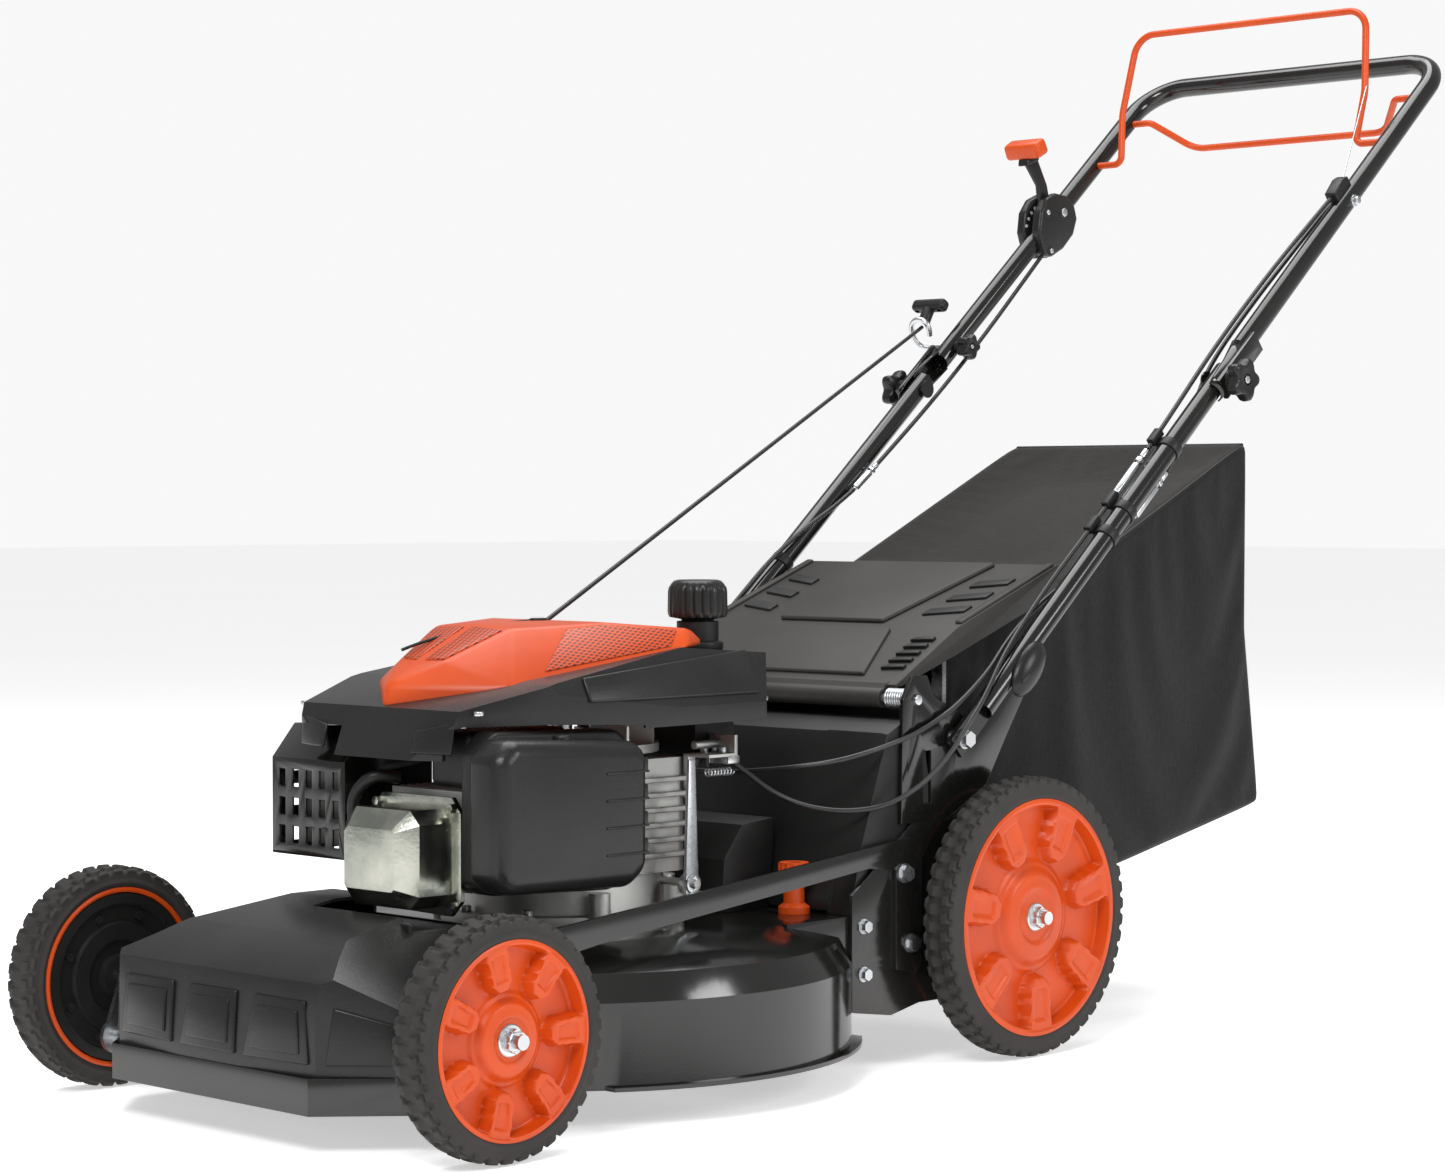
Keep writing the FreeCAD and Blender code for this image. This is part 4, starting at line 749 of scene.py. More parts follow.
def cables():
    """Three cables in two runs each, the starter rope in two runs, and the wire to the stop bail."""
    cable("stop_cable_lower", [
        (100, 437, 299), (112, 452, 285), (130, 468, 266), (155, 483, 253), (182, 508, 247), (203, 540, 250),
        (212, 567, 260), (217, 592, 274), (220, 620, 295), (221, 646, 322), beside(46, 15, 9),
        beside(94, 18, 0), beside(147, 16, -8), beside(215, 15, -12), beside(285, 13, -12.5),
        beside(ADJUST_A, 12.5, -12.5)], 5.0, ((182, 508, 247), beside(94, 18, 0)),
        ("stop_cable",))
    cable("drive_cable_lower", [
        (20, 478, 279), (60, 476, 279), (100, 478, 283), (145, 474, 288), (180, 500, 294), (198, 534, 303),
        (204, 579, 314), (205, 617, 327), (206, 652, 343), beside(78, 18, -5), beside(120, 15, -13),
        beside(165, 10, -16), beside(210, 0, -18), beside(262, -13, -13), beside(305, -17, -6),
        beside(ADJUST_A, -17.5, -3)], 5.0, ((180, 500, 294), beside(94, 18, 0)),
        ("drive_cable",))
    cable("speed_cable_lower", [
        (-96, 474, 286), (-130, 484, 288), (-172, 500, 292), (-196, 530, 302), (-204, 577, 314),
        (-205, 617, 328), (-206, 652, 344), beside(100, 19, -3, -1), beside(170, 17, -2, -1),
        beside(240, 17, -4, -1), beside(300, 12, -14, -1), beside(340, 3, -18, -1),
        beside(FAR_A, -3, -17.5, -1)], 5.0, ((-172, 500, 292), beside(100, 19, -3, -1)),
        ("speed_cable",))
    fold = (beside(LOWER_LENGTH - 40, 15, -14), beside(LOWER_LENGTH + 60, 15, -14))
    cable("stop_cable_upper", [
        beside(ADJUST_B, 12.5, -12.5), beside(ADJUST_B + 60, 14, -13), beside(ADJUST_B + 150, 17, -15),
        beside(ADJUST_B + 250, 17, -15), beside(ADJUST_B + 340, 16, -12), beside(GUARD_ALONG, 16, -4)],
        5.0, fold, ("stop_cable",))
    cable("drive_cable_upper", [
        beside(ADJUST_B, -17.5, -3), beside(ADJUST_B + 50, -17, -8), beside(ADJUST_B + 95, -8, -17),
        beside(ADJUST_B + 150, 4, -21), beside(ADJUST_B + 250, 6, -20), beside(ADJUST_B + 340, 4, -18),
        beside(ADJUST_B + 440, 0, -18), beside(ADJUST_B + 500, -10, -15), beside(ADJUST_B + 550, -15, -11),
        beside(LOWER_LENGTH + 496, -14, -11)], 5.0, fold,
        ("drive_cable",))
    far_fold = (beside(LOWER_LENGTH - 40, -14, -14, -1), beside(LOWER_LENGTH + 60, -14, -14, -1))
    cable("speed_cable_upper", [
        beside(FAR_B, -8, -16, -1), beside(FAR_B + 60, -13, -14, -1), beside(FAR_B + 130, -16, -14, -1),
        beside(FAR_B + 230, -17, -14, -1), beside(FAR_B + 330, -15, -12, -1),
        beside(LEVER_ALONG - 34, -14, -10, -1)], 5.0, far_fold,
        ("speed_cable",))
    start = Vector((0, 296, 424))
    grip = Vector((-TUBE_X - 35, *on_handle(LOWER_LENGTH + 76))) + Vector((0, -10, 24))
    split = start.lerp(grip, 0.78)
    cable("rope_lower", [tuple(start), tuple(start.lerp(split, 0.34)), tuple(start.lerp(split, 0.68)),
                         tuple(split)], 4.5, (tuple(start), tuple(split)),
          ("starter_rope",))
    cable("rope_upper", [tuple(split), tuple(split.lerp(grip, 0.35)), tuple(split.lerp(grip, 0.7)),
                         tuple(grip)], 4.5, (tuple(split), tuple(grip)),
          ("starter_rope",))
    hook = (172.0, 1402.0, 1006.0)
    start = beside(GUARD_ALONG + 24, 17, -4)
    middle = tuple(a + (b - a) * 0.5 for a, b in zip(start, hook))
    cable("stop_wire", [start, middle, hook], 1.4, (start, hook),
          (), ZINC)


cables()


# ------------------------------------------------------------------ grass bag
BAG_SIDE = ((686.0, 224.0), (800.0, 163.0), (962.0, 159.0), (1216.0, 210.0), (1190.0, 400.0),
            (1190.0, 602.0), (866.0, 455.0), (686.0, 386.0))
BAG_MIDDLE = (985.0, 345.0)
BAG_HALF = 162.0
BAG_ROUND = 9.0
LONG_STEPS, SHORT_STEPS, CROSS_STEPS = 54, 28, 24
MOUTH_LOW, MOUTH_HIGH, MOUTH_HALF = 0.240, 0.372, 0.148
CLOTH_FRAMES = 25
MOST_SAG = 0.012


def pulled_in(place, amount):
    """A point of the outline moved by amount mm towards the middle of the bag's side."""
    y, z = place[0] - BAG_MIDDLE[0], place[1] - BAG_MIDDLE[1]
    share = 1 - amount / math.hypot(y, z)
    return (BAG_MIDDLE[0] + y * share, BAG_MIDDLE[1] + z * share)


def run_points(corners, count):
    """Points of one run of the outline, count steps long, with its corners kept and its last left out."""
    lengths = [math.dist(a, b) for a, b in zip(corners, corners[1:])]
    shares = [max(1, round(count * part / sum(lengths))) for part in lengths]
    shares[-1] += count - sum(shares)
    points = []
    for a, b, share in zip(corners, corners[1:], shares):
        points += [(a[0] + (b[0] - a[0]) * i / share, a[1] + (b[1] - a[1]) * i / share) for i in range(share)]
    return points


def bag_loop():
    """Points round the bag's side: bottom, back, top and front runs, opposite runs alike in number."""
    bottom = run_points(BAG_SIDE[0:4], LONG_STEPS)
    back = run_points(BAG_SIDE[3:6], SHORT_STEPS)
    top = run_points(BAG_SIDE[5:8], LONG_STEPS)
    mouth = run_points((BAG_SIDE[7], BAG_SIDE[0]), SHORT_STEPS)
    return bottom + back + top + mouth


def side_rows(loop, x):
    """A side panel as rows of points that blend the four runs of its border."""
    long, short = LONG_STEPS, SHORT_STEPS
    ring = loop + loop[:1]
    bottom = ring[:long + 1]
    back = ring[long:long + short + 1]
    top = ring[long + short:2 * long + short + 1][::-1]
    mouth = ring[2 * long + short:][::-1]
    rows = []
    for j in range(short + 1):
        v = j / short
        row = []
        for i in range(long + 1):
            u = i / long
            place = []
            for axis in (0, 1):
                edges = ((1 - v) * bottom[i][axis] + v * top[i][axis]
                         + (1 - u) * mouth[j][axis] + u * back[j][axis])
                corners = ((1 - v) * ((1 - u) * bottom[0][axis] + u * bottom[-1][axis])
                           + v * ((1 - u) * top[0][axis] + u * top[-1][axis]))
                place.append(edges - corners)
            row.append(at(x, *place))
        rows.append(row)
    return rows


def bag_shell():
    """Rows from side to side with rounded edges, a panel over each side, and the mouth left open."""
    loop = bag_loop()
    rounds = [(BAG_HALF - BAG_ROUND + BAG_ROUND * math.sin(t), BAG_ROUND * (1 - math.cos(t)))
              for t in (math.pi / 2, math.pi / 3, math.pi / 6, 0.0)]
    edge = BAG_HALF - BAG_ROUND
    insets = [(-x, inset) for x, inset in rounds]
    insets += [(-edge + 2 * edge * i / CROSS_STEPS, 0.0) for i in range(1, CROSS_STEPS)]
    insets += [(x, inset) for x, inset in rounds[::-1]]
    rows = [[at(x, *pulled_in(p, inset)) for p in loop] for x, inset in insets]
    shell = grid("bag_shell", rows, FABRIC, TOP_FABRIC)
    rim = [pulled_in(p, BAG_ROUND) for p in loop]
    sides = [grid("bag_side", side_rows(rim, x), FABRIC, wrap=False) for x in (-BAG_HALF, BAG_HALF)]
    obj = join("bag_cloth", [shell] + sides)
    bm = bmesh.new()
    bm.from_mesh(obj.data)
    bmesh.ops.remove_doubles(bm, verts=bm.verts, dist=0.0002)
    mouth = [f for f in bm.faces if all(v.co.y < at(0, 690, 0).y for v in f.verts)
             and MOUTH_LOW < f.calc_center_median().z < MOUTH_HIGH and abs(f.calc_center_median().x) < MOUTH_HALF]
    bmesh.ops.delete(bm, geom=mouth, context="FACES")
    bmesh.ops.recalc_face_normals(bm, faces=bm.faces)
    bm.to_mesh(obj.data)
    bm.free()
    return obj


def pin_seams(obj):
    """Hold the cloth at its mouth, along its two side edges and along the seams across it."""
    pins = obj.vertex_groups.new(name="held")
    low, high = (BAG_HALF - 2 * BAG_ROUND) / 1000, (BAG_HALF - 0.5) / 1000
    seams = [at(0, *BAG_SIDE[k]) for k in (0, 3, 5, 6, 7)]
    for v in obj.data.vertices:
        at_seam = min(math.hypot(v.co.y - p.y, v.co.z - p.z) for p in seams) < 0.012
        if at_seam or low < abs(v.co.x) < high or v.co.y < at(0, 690, 0).y:
            pins.add([v.index], 1.0, "REPLACE")


def hang(obj):
    """Cloth simulation under gravity, cut slightly full, with no point moved further than MOST_SAG."""
    rest = [v.co.copy() for v in obj.data.vertices]
    cloth = obj.modifiers.new("cloth", "CLOTH")
    for name, value in (("quality", 6), ("mass", 0.25), ("tension_stiffness", 60), ("compression_stiffness", 25),
                        ("shear_stiffness", 18), ("bending_stiffness", 2.0), ("vertex_group_mass", "held"),
                        ("shrink_min", -0.006)):
        setattr(cloth.settings, name, value)
    for moment in range(1, CLOTH_FRAMES + 1):
        bpy.context.scene.frame_set(moment)
    only(obj)
    bpy.ops.object.modifier_apply(modifier="cloth")
    bpy.context.scene.frame_set(1)
    for v, place in zip(obj.data.vertices, rest):
        step = v.co - place
        if step.length > MOST_SAG:
            v.co = place + step.normalized() * MOST_SAG


def bag_trims():
    """Piping round each side, and the seams across the top and bottom at the back."""
    for side, hand in ((-1, "right"), (1, "left")):
        x = side * (BAG_HALF - BAG_ROUND * 0.5)
        rim = [pulled_in(p, 4.0) for p in BAG_SIDE]
        path = [(x, a[0] + (b[0] - a[0]) * t, a[1] + (b[1] - a[1]) * t)
                for a, b in zip(rim, rim[1:] + rim[:1]) for t in (0.02, 0.34, 0.66, 0.98)]
        placed(wire("bag_piping_" + hand, path, 2.3, PLASTIC, closed=True), "grass_bag", "bag_fabric")
    for name, corner in (("top", BAG_SIDE[5]), ("bottom", BAG_SIDE[3])):
        path = [(x, *pulled_in(corner, 4.5)) for x in (-156, -60, 60, 156)]
        placed(wire("bag_seam_" + name, path, 2.4, PLASTIC), "grass_bag", "bag_fabric")


def bag():
    """A sewn shell, hung in cloth simulation from its seams and frame, with its trims."""
    obj = bag_shell()
    pin_seams(obj)
    hang(obj)
    for polygon in obj.data.polygons:
        polygon.material_index = 1 if polygon.normal.z > 0.55 else 0
    obj.vertex_groups.clear()
    thick = obj.modifiers.new("thick", "SOLIDIFY")
    thick.thickness = 0.0009
    thick.offset = -1
    smooth = obj.modifiers.new("smooth", "SUBSURF")
    smooth.levels = smooth.render_levels = 1
    placed(obj, "grass_bag", "bag_fabric", "grass_bag")
    bag_trims()


bag()


# ------------------------------------------------------------------ deck, hood and rear
def mirrored(corners, side):
    """Corners given for the left side, or their mirror image in the order that keeps the face outwards."""
    spots = [(side * x, *rest) for x, *rest in corners]
    return spots if side > 0 else spots[::-1]


def hood():
    """Moulded front hood with three raised panels on its front, a cheek at each end and a well on top."""
    def front(x, z):
        """Y of the hood's front face at a place across and up."""
        plan = -91.0 + max(0.0, abs(x) - 41) * 7 / 94
        lean = -91 + (z - 64) / 16 if z < 80 else -90 + (z - 80) * 9 / 61
        return max(plan, lean)

    shell = shape_of("front_hood", "hood_moulding", SATIN, 5.0, 4)
    raised = []
    for left, right in ((-128, -50), (-37, 37), (50, 128)):
        outer = [(left, 74), (right, 74), (right - 5, 126), (left + 5, 126)]
        raised.append(panel("hood_panel", [(x, front(x, z), z) for x, z in outer], 3.0, SATIN, 2.0))
        inner = [(left + 9, 82), (right - 9, 82), (right - 12, 118), (left + 12, 118)]
        raised.append(panel("hood_inset", [(x, front(x, z) - 2.4, z) for x, z in inner], 2.2, SATIN, 1.6))
    cheek = [(141, -78.3, 74), (190, -31.6, 74), (188, -33.5, 106), (146, -73.5, 122)]
    raised += [panel("hood_cheek", mirrored(cheek, side), 2.6, SATIN, 1.8) for side in (1, -1)]
    raised.append(block("hood_well", (-30, 38, 158), (112, 117, 168.5), PLASTIC, 1.0))
    raised.append(block("hood_rim", (-30, 38, 166), (112, 43, 178), SATIN, 2.0))
    for piece in raised:
        placed(piece, "deck", "black_plastic")
    placed(shell, "deck", "black_plastic", "front_hood")


def deck():
    """Pressed deck with soft edges, its side plates and the brackets of the handle."""
    placed(shape_of("deck_shell", "deck_pressing", BLACK, 4.5, 4), "deck", "black_paint", "deck_shell")
    placed(shape_of("side_plates", "side_plate_pressing", BLACK, 1.2, 3), "deck", "black_paint", "side_plates")
    placed(shape_of("handle_brackets", "handle_bracket_pressing", BLACK, 1.2, 3), "deck", "black_paint",
           "handle_brackets")


def rear_body():
    """Rear housing with stepped ribs on its left side and upright vents in front."""
    housing = shape_of("rear_housing", "rear_housing_moulding", PLASTIC, 2.5, 3)
    placed(housing, "deck", "black_plastic", "rear_housing")
    for k in range(7):
        y, z = 527 + k * 5.5, 218 + k * 16
        placed(block("housing_rib", (118, y, z), (190, y + 5, z + 5), PLASTIC, 1.2), "deck", "black_plastic")
    for k in range(9):
        x = -150 + k * 15
        placed(block("housing_vent", (x, 545, 262), (x + 7, 552, 304), PLASTIC, 1.5), "deck", "black_plastic")


def door():
    """Discharge door: broad moulding with a raised middle, diagonal slots drawn as strips of darker plastic in
    painted shade, side louvres and rails.
    """
    flap = shape_of("rear_door", "door_moulding", DOOR, 2.5, 3)
    placed(flap, "rear_door", "black_plastic", "rear_door")

    def on_door(y):
        """Height of the door's top face."""
        return 362.0 + (y - 600.0) * 52 / 90 if y <= 690.0 else 414.0 + (y - 690.0) * 60 / 158

    def raised(name, spots, thick, material, edge):
        piece = panel(name, [(x, y, on_door(y)) for x, y in spots], thick, material, edge)
        placed(piece, "rear_door", "black_plastic")

    raised("door_centre", [(-70, 696), (70, 696), (96, 842), (-96, 842)], 4.5, DOOR, 3.0)
    raised("door_front_step", [(-120, 612), (120, 612), (92, 684), (-92, 684)], 3.5, DOOR, 2.5)
    for side in (1, -1):
        # Painted shade: each slot is a raised strip of darker plastic standing in for the shadow in the opening.
        for k in range(3):
            near, y = 104 + k * 2, 716 + k * 34
            slot = [(near, y), (150, y + 10), (150, y + 24), (near, y + 14)]
            raised("door_slot_shade", mirrored(slot, side), 2.4, PLASTIC, 1.0)
        for k in range(5):
            y = 622 + k * 11
            louvre = [(132, y), (160, y + 2), (160, y + 7), (138, y + 5)]
            raised("door_louvre", mirrored(louvre, side), 3.2, PLASTIC, 1.0)
        rail = [(160, 700), (169, 700), (169, 846), (160, 846)]
        raised("door_rail", mirrored(rail, side), 3.0, DOOR, 2.0)


def hinge_spring():
    """Torsion spring, wound round the end of the hinge rod."""
    hinge_y, hinge_z = 597.0, 349.0
    rod = drum("hinge_bar", (-203, hinge_y, hinge_z), (203, hinge_y, hinge_z), 5.0, ZINC, 0.8)
    placed(rod, "deck", "zinc_steel", "hinge_rod")
    turns, points = 9, []
    for k in range(turns * 8 + 1):
        a = 2 * math.pi * k / 8
        points.append((166 + 27 * k / (turns * 8), hinge_y + 9.8 * math.cos(a), hinge_z + 9.8 * math.sin(a)))
    points.append((193, hinge_y + 12, hinge_z - 14))
    coil = wire("hinge_spring", points, 1.45, ZINC)
    placed(coil, "deck", "zinc_steel")


hood()
deck()
rear_body()
door()
hinge_spring()


# ------------------------------------------------------------------ engine
def starter_top():
    """Faceted recoil cover with a mesh inlet on each side and two in front, and the rope's mouth."""
    half = [(0, 104, 353), (30, 127, 352), (90, 174, 372), (120, 368, 404), (96, 414, 405), (0, 414, 405),
            (0, 106, 375), (26, 129, 376), (0, 133, 389), (30, 150, 395.4), (52, 212, 424), (75.7, 300, 428),
            (107.4, 380, 421), (78, 414, 418), (0, 212, 427), (0, 300, 428.6), (0, 414, 419)]
    bm = bmesh.new()
    for x, y, z in half + [(-x, y, z) for x, y, z in half if x]:
        bm.verts.new(at(x, y, z))
    bmesh.ops.convex_hull(bm, input=bm.verts)
    bmesh.ops.dissolve_limit(bm, angle_limit=math.radians(1.5), verts=bm.verts, edges=bm.edges)
    cover = dressed(from_bmesh("recoil_cover", bm, ORANGE), ORANGE, 4.0, 4, 8)
    placed(cover, "deck", "orange_plastic", "starter_cover")

    def flank(x, y):
        """Height of the cover's long side facet at a place in plan."""
        return 372 + (2776 * (y - 174) - 8872 * (x - 90)) / 8512

    def front_top(x, y):
        """Height of the facet over the front of the cover."""
        return 389 + (y - 133) * 38 / 79 - x * 3 / 52

    def inlet(name, spots, height, side):
        corners = mirrored([(x, y, height(x, y)) for x, y in spots], side)
        placed(panel(name, corners, 1.4, INLET, 0.9), "deck", "orange_plastic")

    for side in (1, -1):
        inlet("side_inlet", [(70, 262), (90, 216), (114, 352), (105, 368), (79, 300)], flank, side)
        inlet("front_inlet", [(6, 148), (27, 152), (45, 206), (6, 206)], front_top, side)
    slit = wire("rope_slit", [(-28, 150, 404), (-14, 205, 424), (0, 296, 428.5)], 1.5, PLASTIC)
    placed(slit, "deck", "black_plastic")
    ring = wire("rope_mouth", [(6 * math.cos(a), 292 + 8 * math.sin(a), 428.4) for a in
                               (2 * math.pi * k / 10 for k in range(10))], 1.6, PLASTIC, closed=True)
    placed(ring, "deck", "black_plastic")


def shroud():
    """Black cowl round the starter, with raised flanks and cheeks, its screws and the intake under it."""
    cowl = shape_of("engine_shroud", "engine_cowl", SATIN, 5.0, 4)
    placed(cowl, "deck", "black_plastic", "engine_shroud")
    flank = [(142, 222, 359.7), (142, 440, 359.7), (121.5, 440, 399.4), (131, 222, 381)]
    cheek = [(60, 85.6, 318), (102, 95.6, 318), (102, 99, 346), (60, 91, 338)]
    for side in (1, -1):
        placed(panel("cowl_flank", mirrored(flank, side), 3.0, SATIN, 2.2), "deck", "black_plastic")
        placed(panel("cowl_cheek", mirrored(cheek, side), 2.5, SATIN, 2.0), "deck", "black_plastic")
    placed(block("intake_box", (48, 116, 287), (101, 236, 337), PLASTIC, 7.0), "deck", "black_plastic")
    for place in ((118, 112), (-118, 112), (136, 452), (-136, 452)):
        placed(drum("cowl_screw", (*place, 352), (*place, 356), 4.5, ZINC, 0.8, 20), "deck", "zinc_steel")


CAP_PLACE = (50.0, 452.0)
# Radius and height of the cap's outline, and how far the finger grooves reach there.
CAP_OUTLINE = ((0.5, 463.6, 0), (19, 463.6, 0), (22.5, 462.6, 0), (25, 460, 0.1), (27.6, 456, 0.8), (28.2, 452, 1),
               (28.6, 434, 1), (28.2, 430.5, 0.7), (26.8, 428.2, 0), (16, 426.2, 0), (15, 424, 0), (15, 411, 0),
               (0.5, 410.6, 0))


def cap():
    """Fuel filler cap with finger grooves round its rim, on its neck and collar."""
    grooves, steps = 20, 160
    rows = []
    for radius, z, groove in CAP_OUTLINE:
        row = []
        for k in range(steps):
            a = 2 * math.pi * k / steps
            r = radius - 1.9 * groove * max(0.0, math.cos(a * grooves)) ** 2
            row.append(at(CAP_PLACE[0] + r * math.cos(a), CAP_PLACE[1] + r * math.sin(a), z))
        rows.append(row)
    placed(sharpen(grid("filler_cap", rows, SATIN), 40), "fuel_cap", "black_plastic", "fuel_cap")
    placed(drum("filler_neck", (*CAP_PLACE, 392), (*CAP_PLACE, 424.5), 20.0, PLASTIC, 1.2), "deck", "black_plastic")
    placed(drum("filler_collar", (*CAP_PLACE, 396), (*CAP_PLACE, 406), 24.5, PLASTIC, 3.0), "deck", "black_plastic")


def cleaner():
    """Air cleaner: deep rounded cover with ribs at its rear edge, on its base, with a round latch."""
    base = shape_of("air_cleaner_base", "cleaner_base", PLASTIC, 5.0, 4)
    placed(base, "deck", "black_plastic", "air_cleaner_base")
    cover = shape_of("air_cleaner_cover", "cleaner_cover", SATIN, 6.0, 5)
    placed(cover, "deck", "black_plastic", "air_cleaner_cover")
    for name, low, high, edge in (("cleaner_rib", (129, 262, 0), (166, 272, 13), 2.0),
                                  ("cleaner_line", (171, 214, 0), (173.2, 266, 2.2), 0.8)):
        for k in range(4):
            z = 226 + k * 24
            piece = block(name, (low[0], low[1], z), (high[0], high[1], z + high[2]), SATIN, edge)
            placed(piece, "deck", "black_plastic")
    placed(drum("cleaner_latch", (150, 180, 324), (150, 180, 334), 8, PLASTIC, 2), "deck", "black_plastic")


def head():
    """Pressed valve cover, finned cylinder, ribbed and bolted crankcase, plug boot and breather pipe."""
    cover = shape_of("valve_cover", "valve_pressing", VALVE, 8.0, 5)
    placed(cover, "deck", "grey_paint", "valve_cover")
    fins = shape_of("cylinder", "cylinder_casting", CAST, 0.8, 2)
    placed(fins, "deck", "cast_alloy", "cylinder")
    case = shape_of("crankcase", "crankcase_casting", CAST, 3.0, 3)
    placed(case, "deck", "cast_alloy", "crankcase")
    lead = shape_of("spark_plug_lead", "plug_boot", PLASTIC, 1.5, 3)
    placed(lead, "deck", "black_plastic", "spark_plug_lead")
    copper = wire("breather_pipe", [(-16, 106, 200), (-20, 103, 216), (-21, 104, 236), (-8, 112, 262)], 3.2, COPPER)
    placed(copper, "deck", "cast_alloy")
    for a in range(20, 360, 40):
        x, y = 104 * math.cos(math.radians(a)), 320 + 104 * math.sin(math.radians(a))
        placed(drum("case_bolt", (x, y, 161), (x, y, 168), 5.5, ZINC, 0.8, 6), "deck", "zinc_steel")
    for k in range(6):
        z = 208 + k * 14
        placed(block("case_rib", (82, 246, z), (92, 400, z + 5), CAST, 1.2), "deck", "cast_alloy")


def guard():
    """Punched muffler guard."""
    shield = shape_of("muffler_guard", "muffler_shield", BLACK, 0.8, 2)
    placed(shield, "deck", "black_paint", "muffler_guard")


def linkage():
    """Governor arm, throttle spring, carburettor, and the screws and clamp of the cable bracket."""
    arm = shape_of("governor_arm", "governor_lever", ZINC, 0.8, 2)
    placed(arm, "governor_arm", "zinc_steel", "governor_arm")
    body = shape_of("carburettor", "carburettor_casting", CAST, 1.2, 3)
    placed(body, "deck", "cast_alloy", "carburettor")
    turns, points = 8, []
    for k in range(turns * 8 + 1):
        a = 2 * math.pi * k / 8
        points.append((112 + 3.6 * math.cos(a), 400 + 34 * k / (turns * 8), 286 + 3.6 * math.sin(a)))
    placed(wire("throttle_spring", points, 0.8, ZINC), "deck", "zinc_steel")
    for place in ((94, 416), (108, 426), (94, 430)):
        placed(drum("bracket_screw", (*place, 303), (*place, 309), 4.0, ZINC, 0.8, 6), "deck", "zinc_steel")
    placed(block("cable_clamp", (86, 430, 292), (112, 446, 300), ZINC, 1.5), "deck", "zinc_steel")


starter_top()
shroud()
cap()
cleaner()
head()
guard()
linkage()


# ------------------------------------------------------------------ handle
# Depth in mm along the knob's axis, radius as a share of the knob's, and how far its lobes reach there.
KNOB_OUTLINE = ((0, 0.42, 0), (0, 0.50, 0), (6.5, 0.50, 0), (7.0, 0.80, 0.7), (9.0, 0.96, 1), (12, 1.0, 1),
                (17, 0.99, 1), (20, 0.95, 1), (21.6, 0.86, 0.9), (22, 0.66, 0.5), (21.2, 0.44, 0), (21.0, 0.26, 0),
                (19.0, 0.25, 0), (19.0, 0.02, 0))


def star_knob(name, start_x, side, place, radius):
    """A deep five-lobed hand knob turned about an X line, with its nut in the middle."""
    steps = 100
    rows = []
    for depth, size, lobe in KNOB_OUTLINE:
        row = []
        for k in range(steps):
            a = 2 * math.pi * k / steps
            wave = 0.85 + 0.15 * math.cos(5 * a)
            r = radius * size * (1 - lobe + lobe * wave)
            row.append(at(start_x + side * depth, place[0] + r * math.cos(a), place[1] + r * math.sin(a)))
        rows.append(row)
    knob = sharpen(grid(name, rows, SATIN), 34)
    nut = drum(name + "_nut", (start_x + side * 18, *place), (start_x + side * 21.5, *place), radius * 0.17, ZINC,
               0.5, 24)
    return knob, nut


def knobs():
    """The two knobs that clamp the handle's fold."""
    outer = TUBE_X + TUBE_R + 6.0
    for side, hand in ((1, "left"), (-1, "right")):
        knob, nut = star_knob("fold_knob_" + hand, side * outer, side, FOLD, 23.6)
        placed(knob, "star_knobs", "black_plastic", "star_knobs")
        placed(nut, "star_knobs", "zinc_steel")


def saddles():
    """Flattened, cupped ends where the upper tubes bolt over the lower ones."""
    tube = shape_of("upper_handle", "upper_handle_tube", BLACK, 0.5, 2)
    placed(tube, "upper_handle", "black_paint", "upper_handle")
    for side, hand in ((1, "left"), (-1, "right")):
        rows = []
        for along, wide, cup in ((LOWER_LENGTH + 52, 11.8, 1.0), (LOWER_LENGTH + 36, 12.8, 0.8),
                                 (LOWER_LENGTH + 16, 14.2, 0.66), (LOWER_LENGTH - 8, 14.2, 0.62),
                                 (LOWER_LENGTH - 20, 12.4, 0.6)):
            row = []
            for k in range(15):
                a = math.pi * (k / 14 - 0.5) * cup * 1.25
                row.append(at(side * (TUBE_X + 0.6 + (wide + 0.9) * math.cos(a)),
                              *on_handle(along, (wide + 0.6) * math.sin(a))))
            rows.append(row)
        cup = sharpen(grid("saddle_" + hand, rows, BLACK, wrap=False), 40)
        thick = cup.modifiers.new("thick", "SOLIDIFY")
        thick.thickness = 0.0016
        thick.offset = 0
        placed(cup, "upper_handle", "black_paint")


def latches():
    """Rounded grip halves round the lower end of each tube."""
    for side, hand in ((1, "left"), (-1, "right")):
        y, z = on_handle(108, -7)
        bpy.ops.mesh.primitive_uv_sphere_add(segments=40, ring_count=24, radius=1,
                                             location=at(side * (TUBE_X + TUBE_R - 1), y, z))
        shell = bpy.context.object
        shell.name = "latch_" + hand
        shell.scale = (0.0125, 0.033, 0.018)
        shell.rotation_euler = (HANDLE_ANGLE + math.radians(8), 0, 0)
        dressed(shell, SATIN)
        only(shell)
        bpy.ops.object.mode_set(mode="EDIT")
        bpy.ops.mesh.select_all(action="SELECT")
        bpy.ops.mesh.bisect(plane_co=at(side * (TUBE_X + TUBE_R + 0.6), y, z), plane_no=(side, 0, 0),
                            clear_inner=True, use_fill=True)
        bpy.ops.object.mode_set(mode="OBJECT")
        placed(shell, "handle_latches", "black_plastic", "handle_latches")
        ridge = wire("latch_ridge_" + hand, [(side * (TUBE_X + TUBE_R + 8.5), *on_handle(86, -4)),
                                             (side * (TUBE_X + TUBE_R + 10.8), *on_handle(106, -5)),
                                             (side * (TUBE_X + TUBE_R + 7.5), *on_handle(130, -8))], 1.3, SATIN)
        placed(ridge, "handle_latches", "black_plastic")


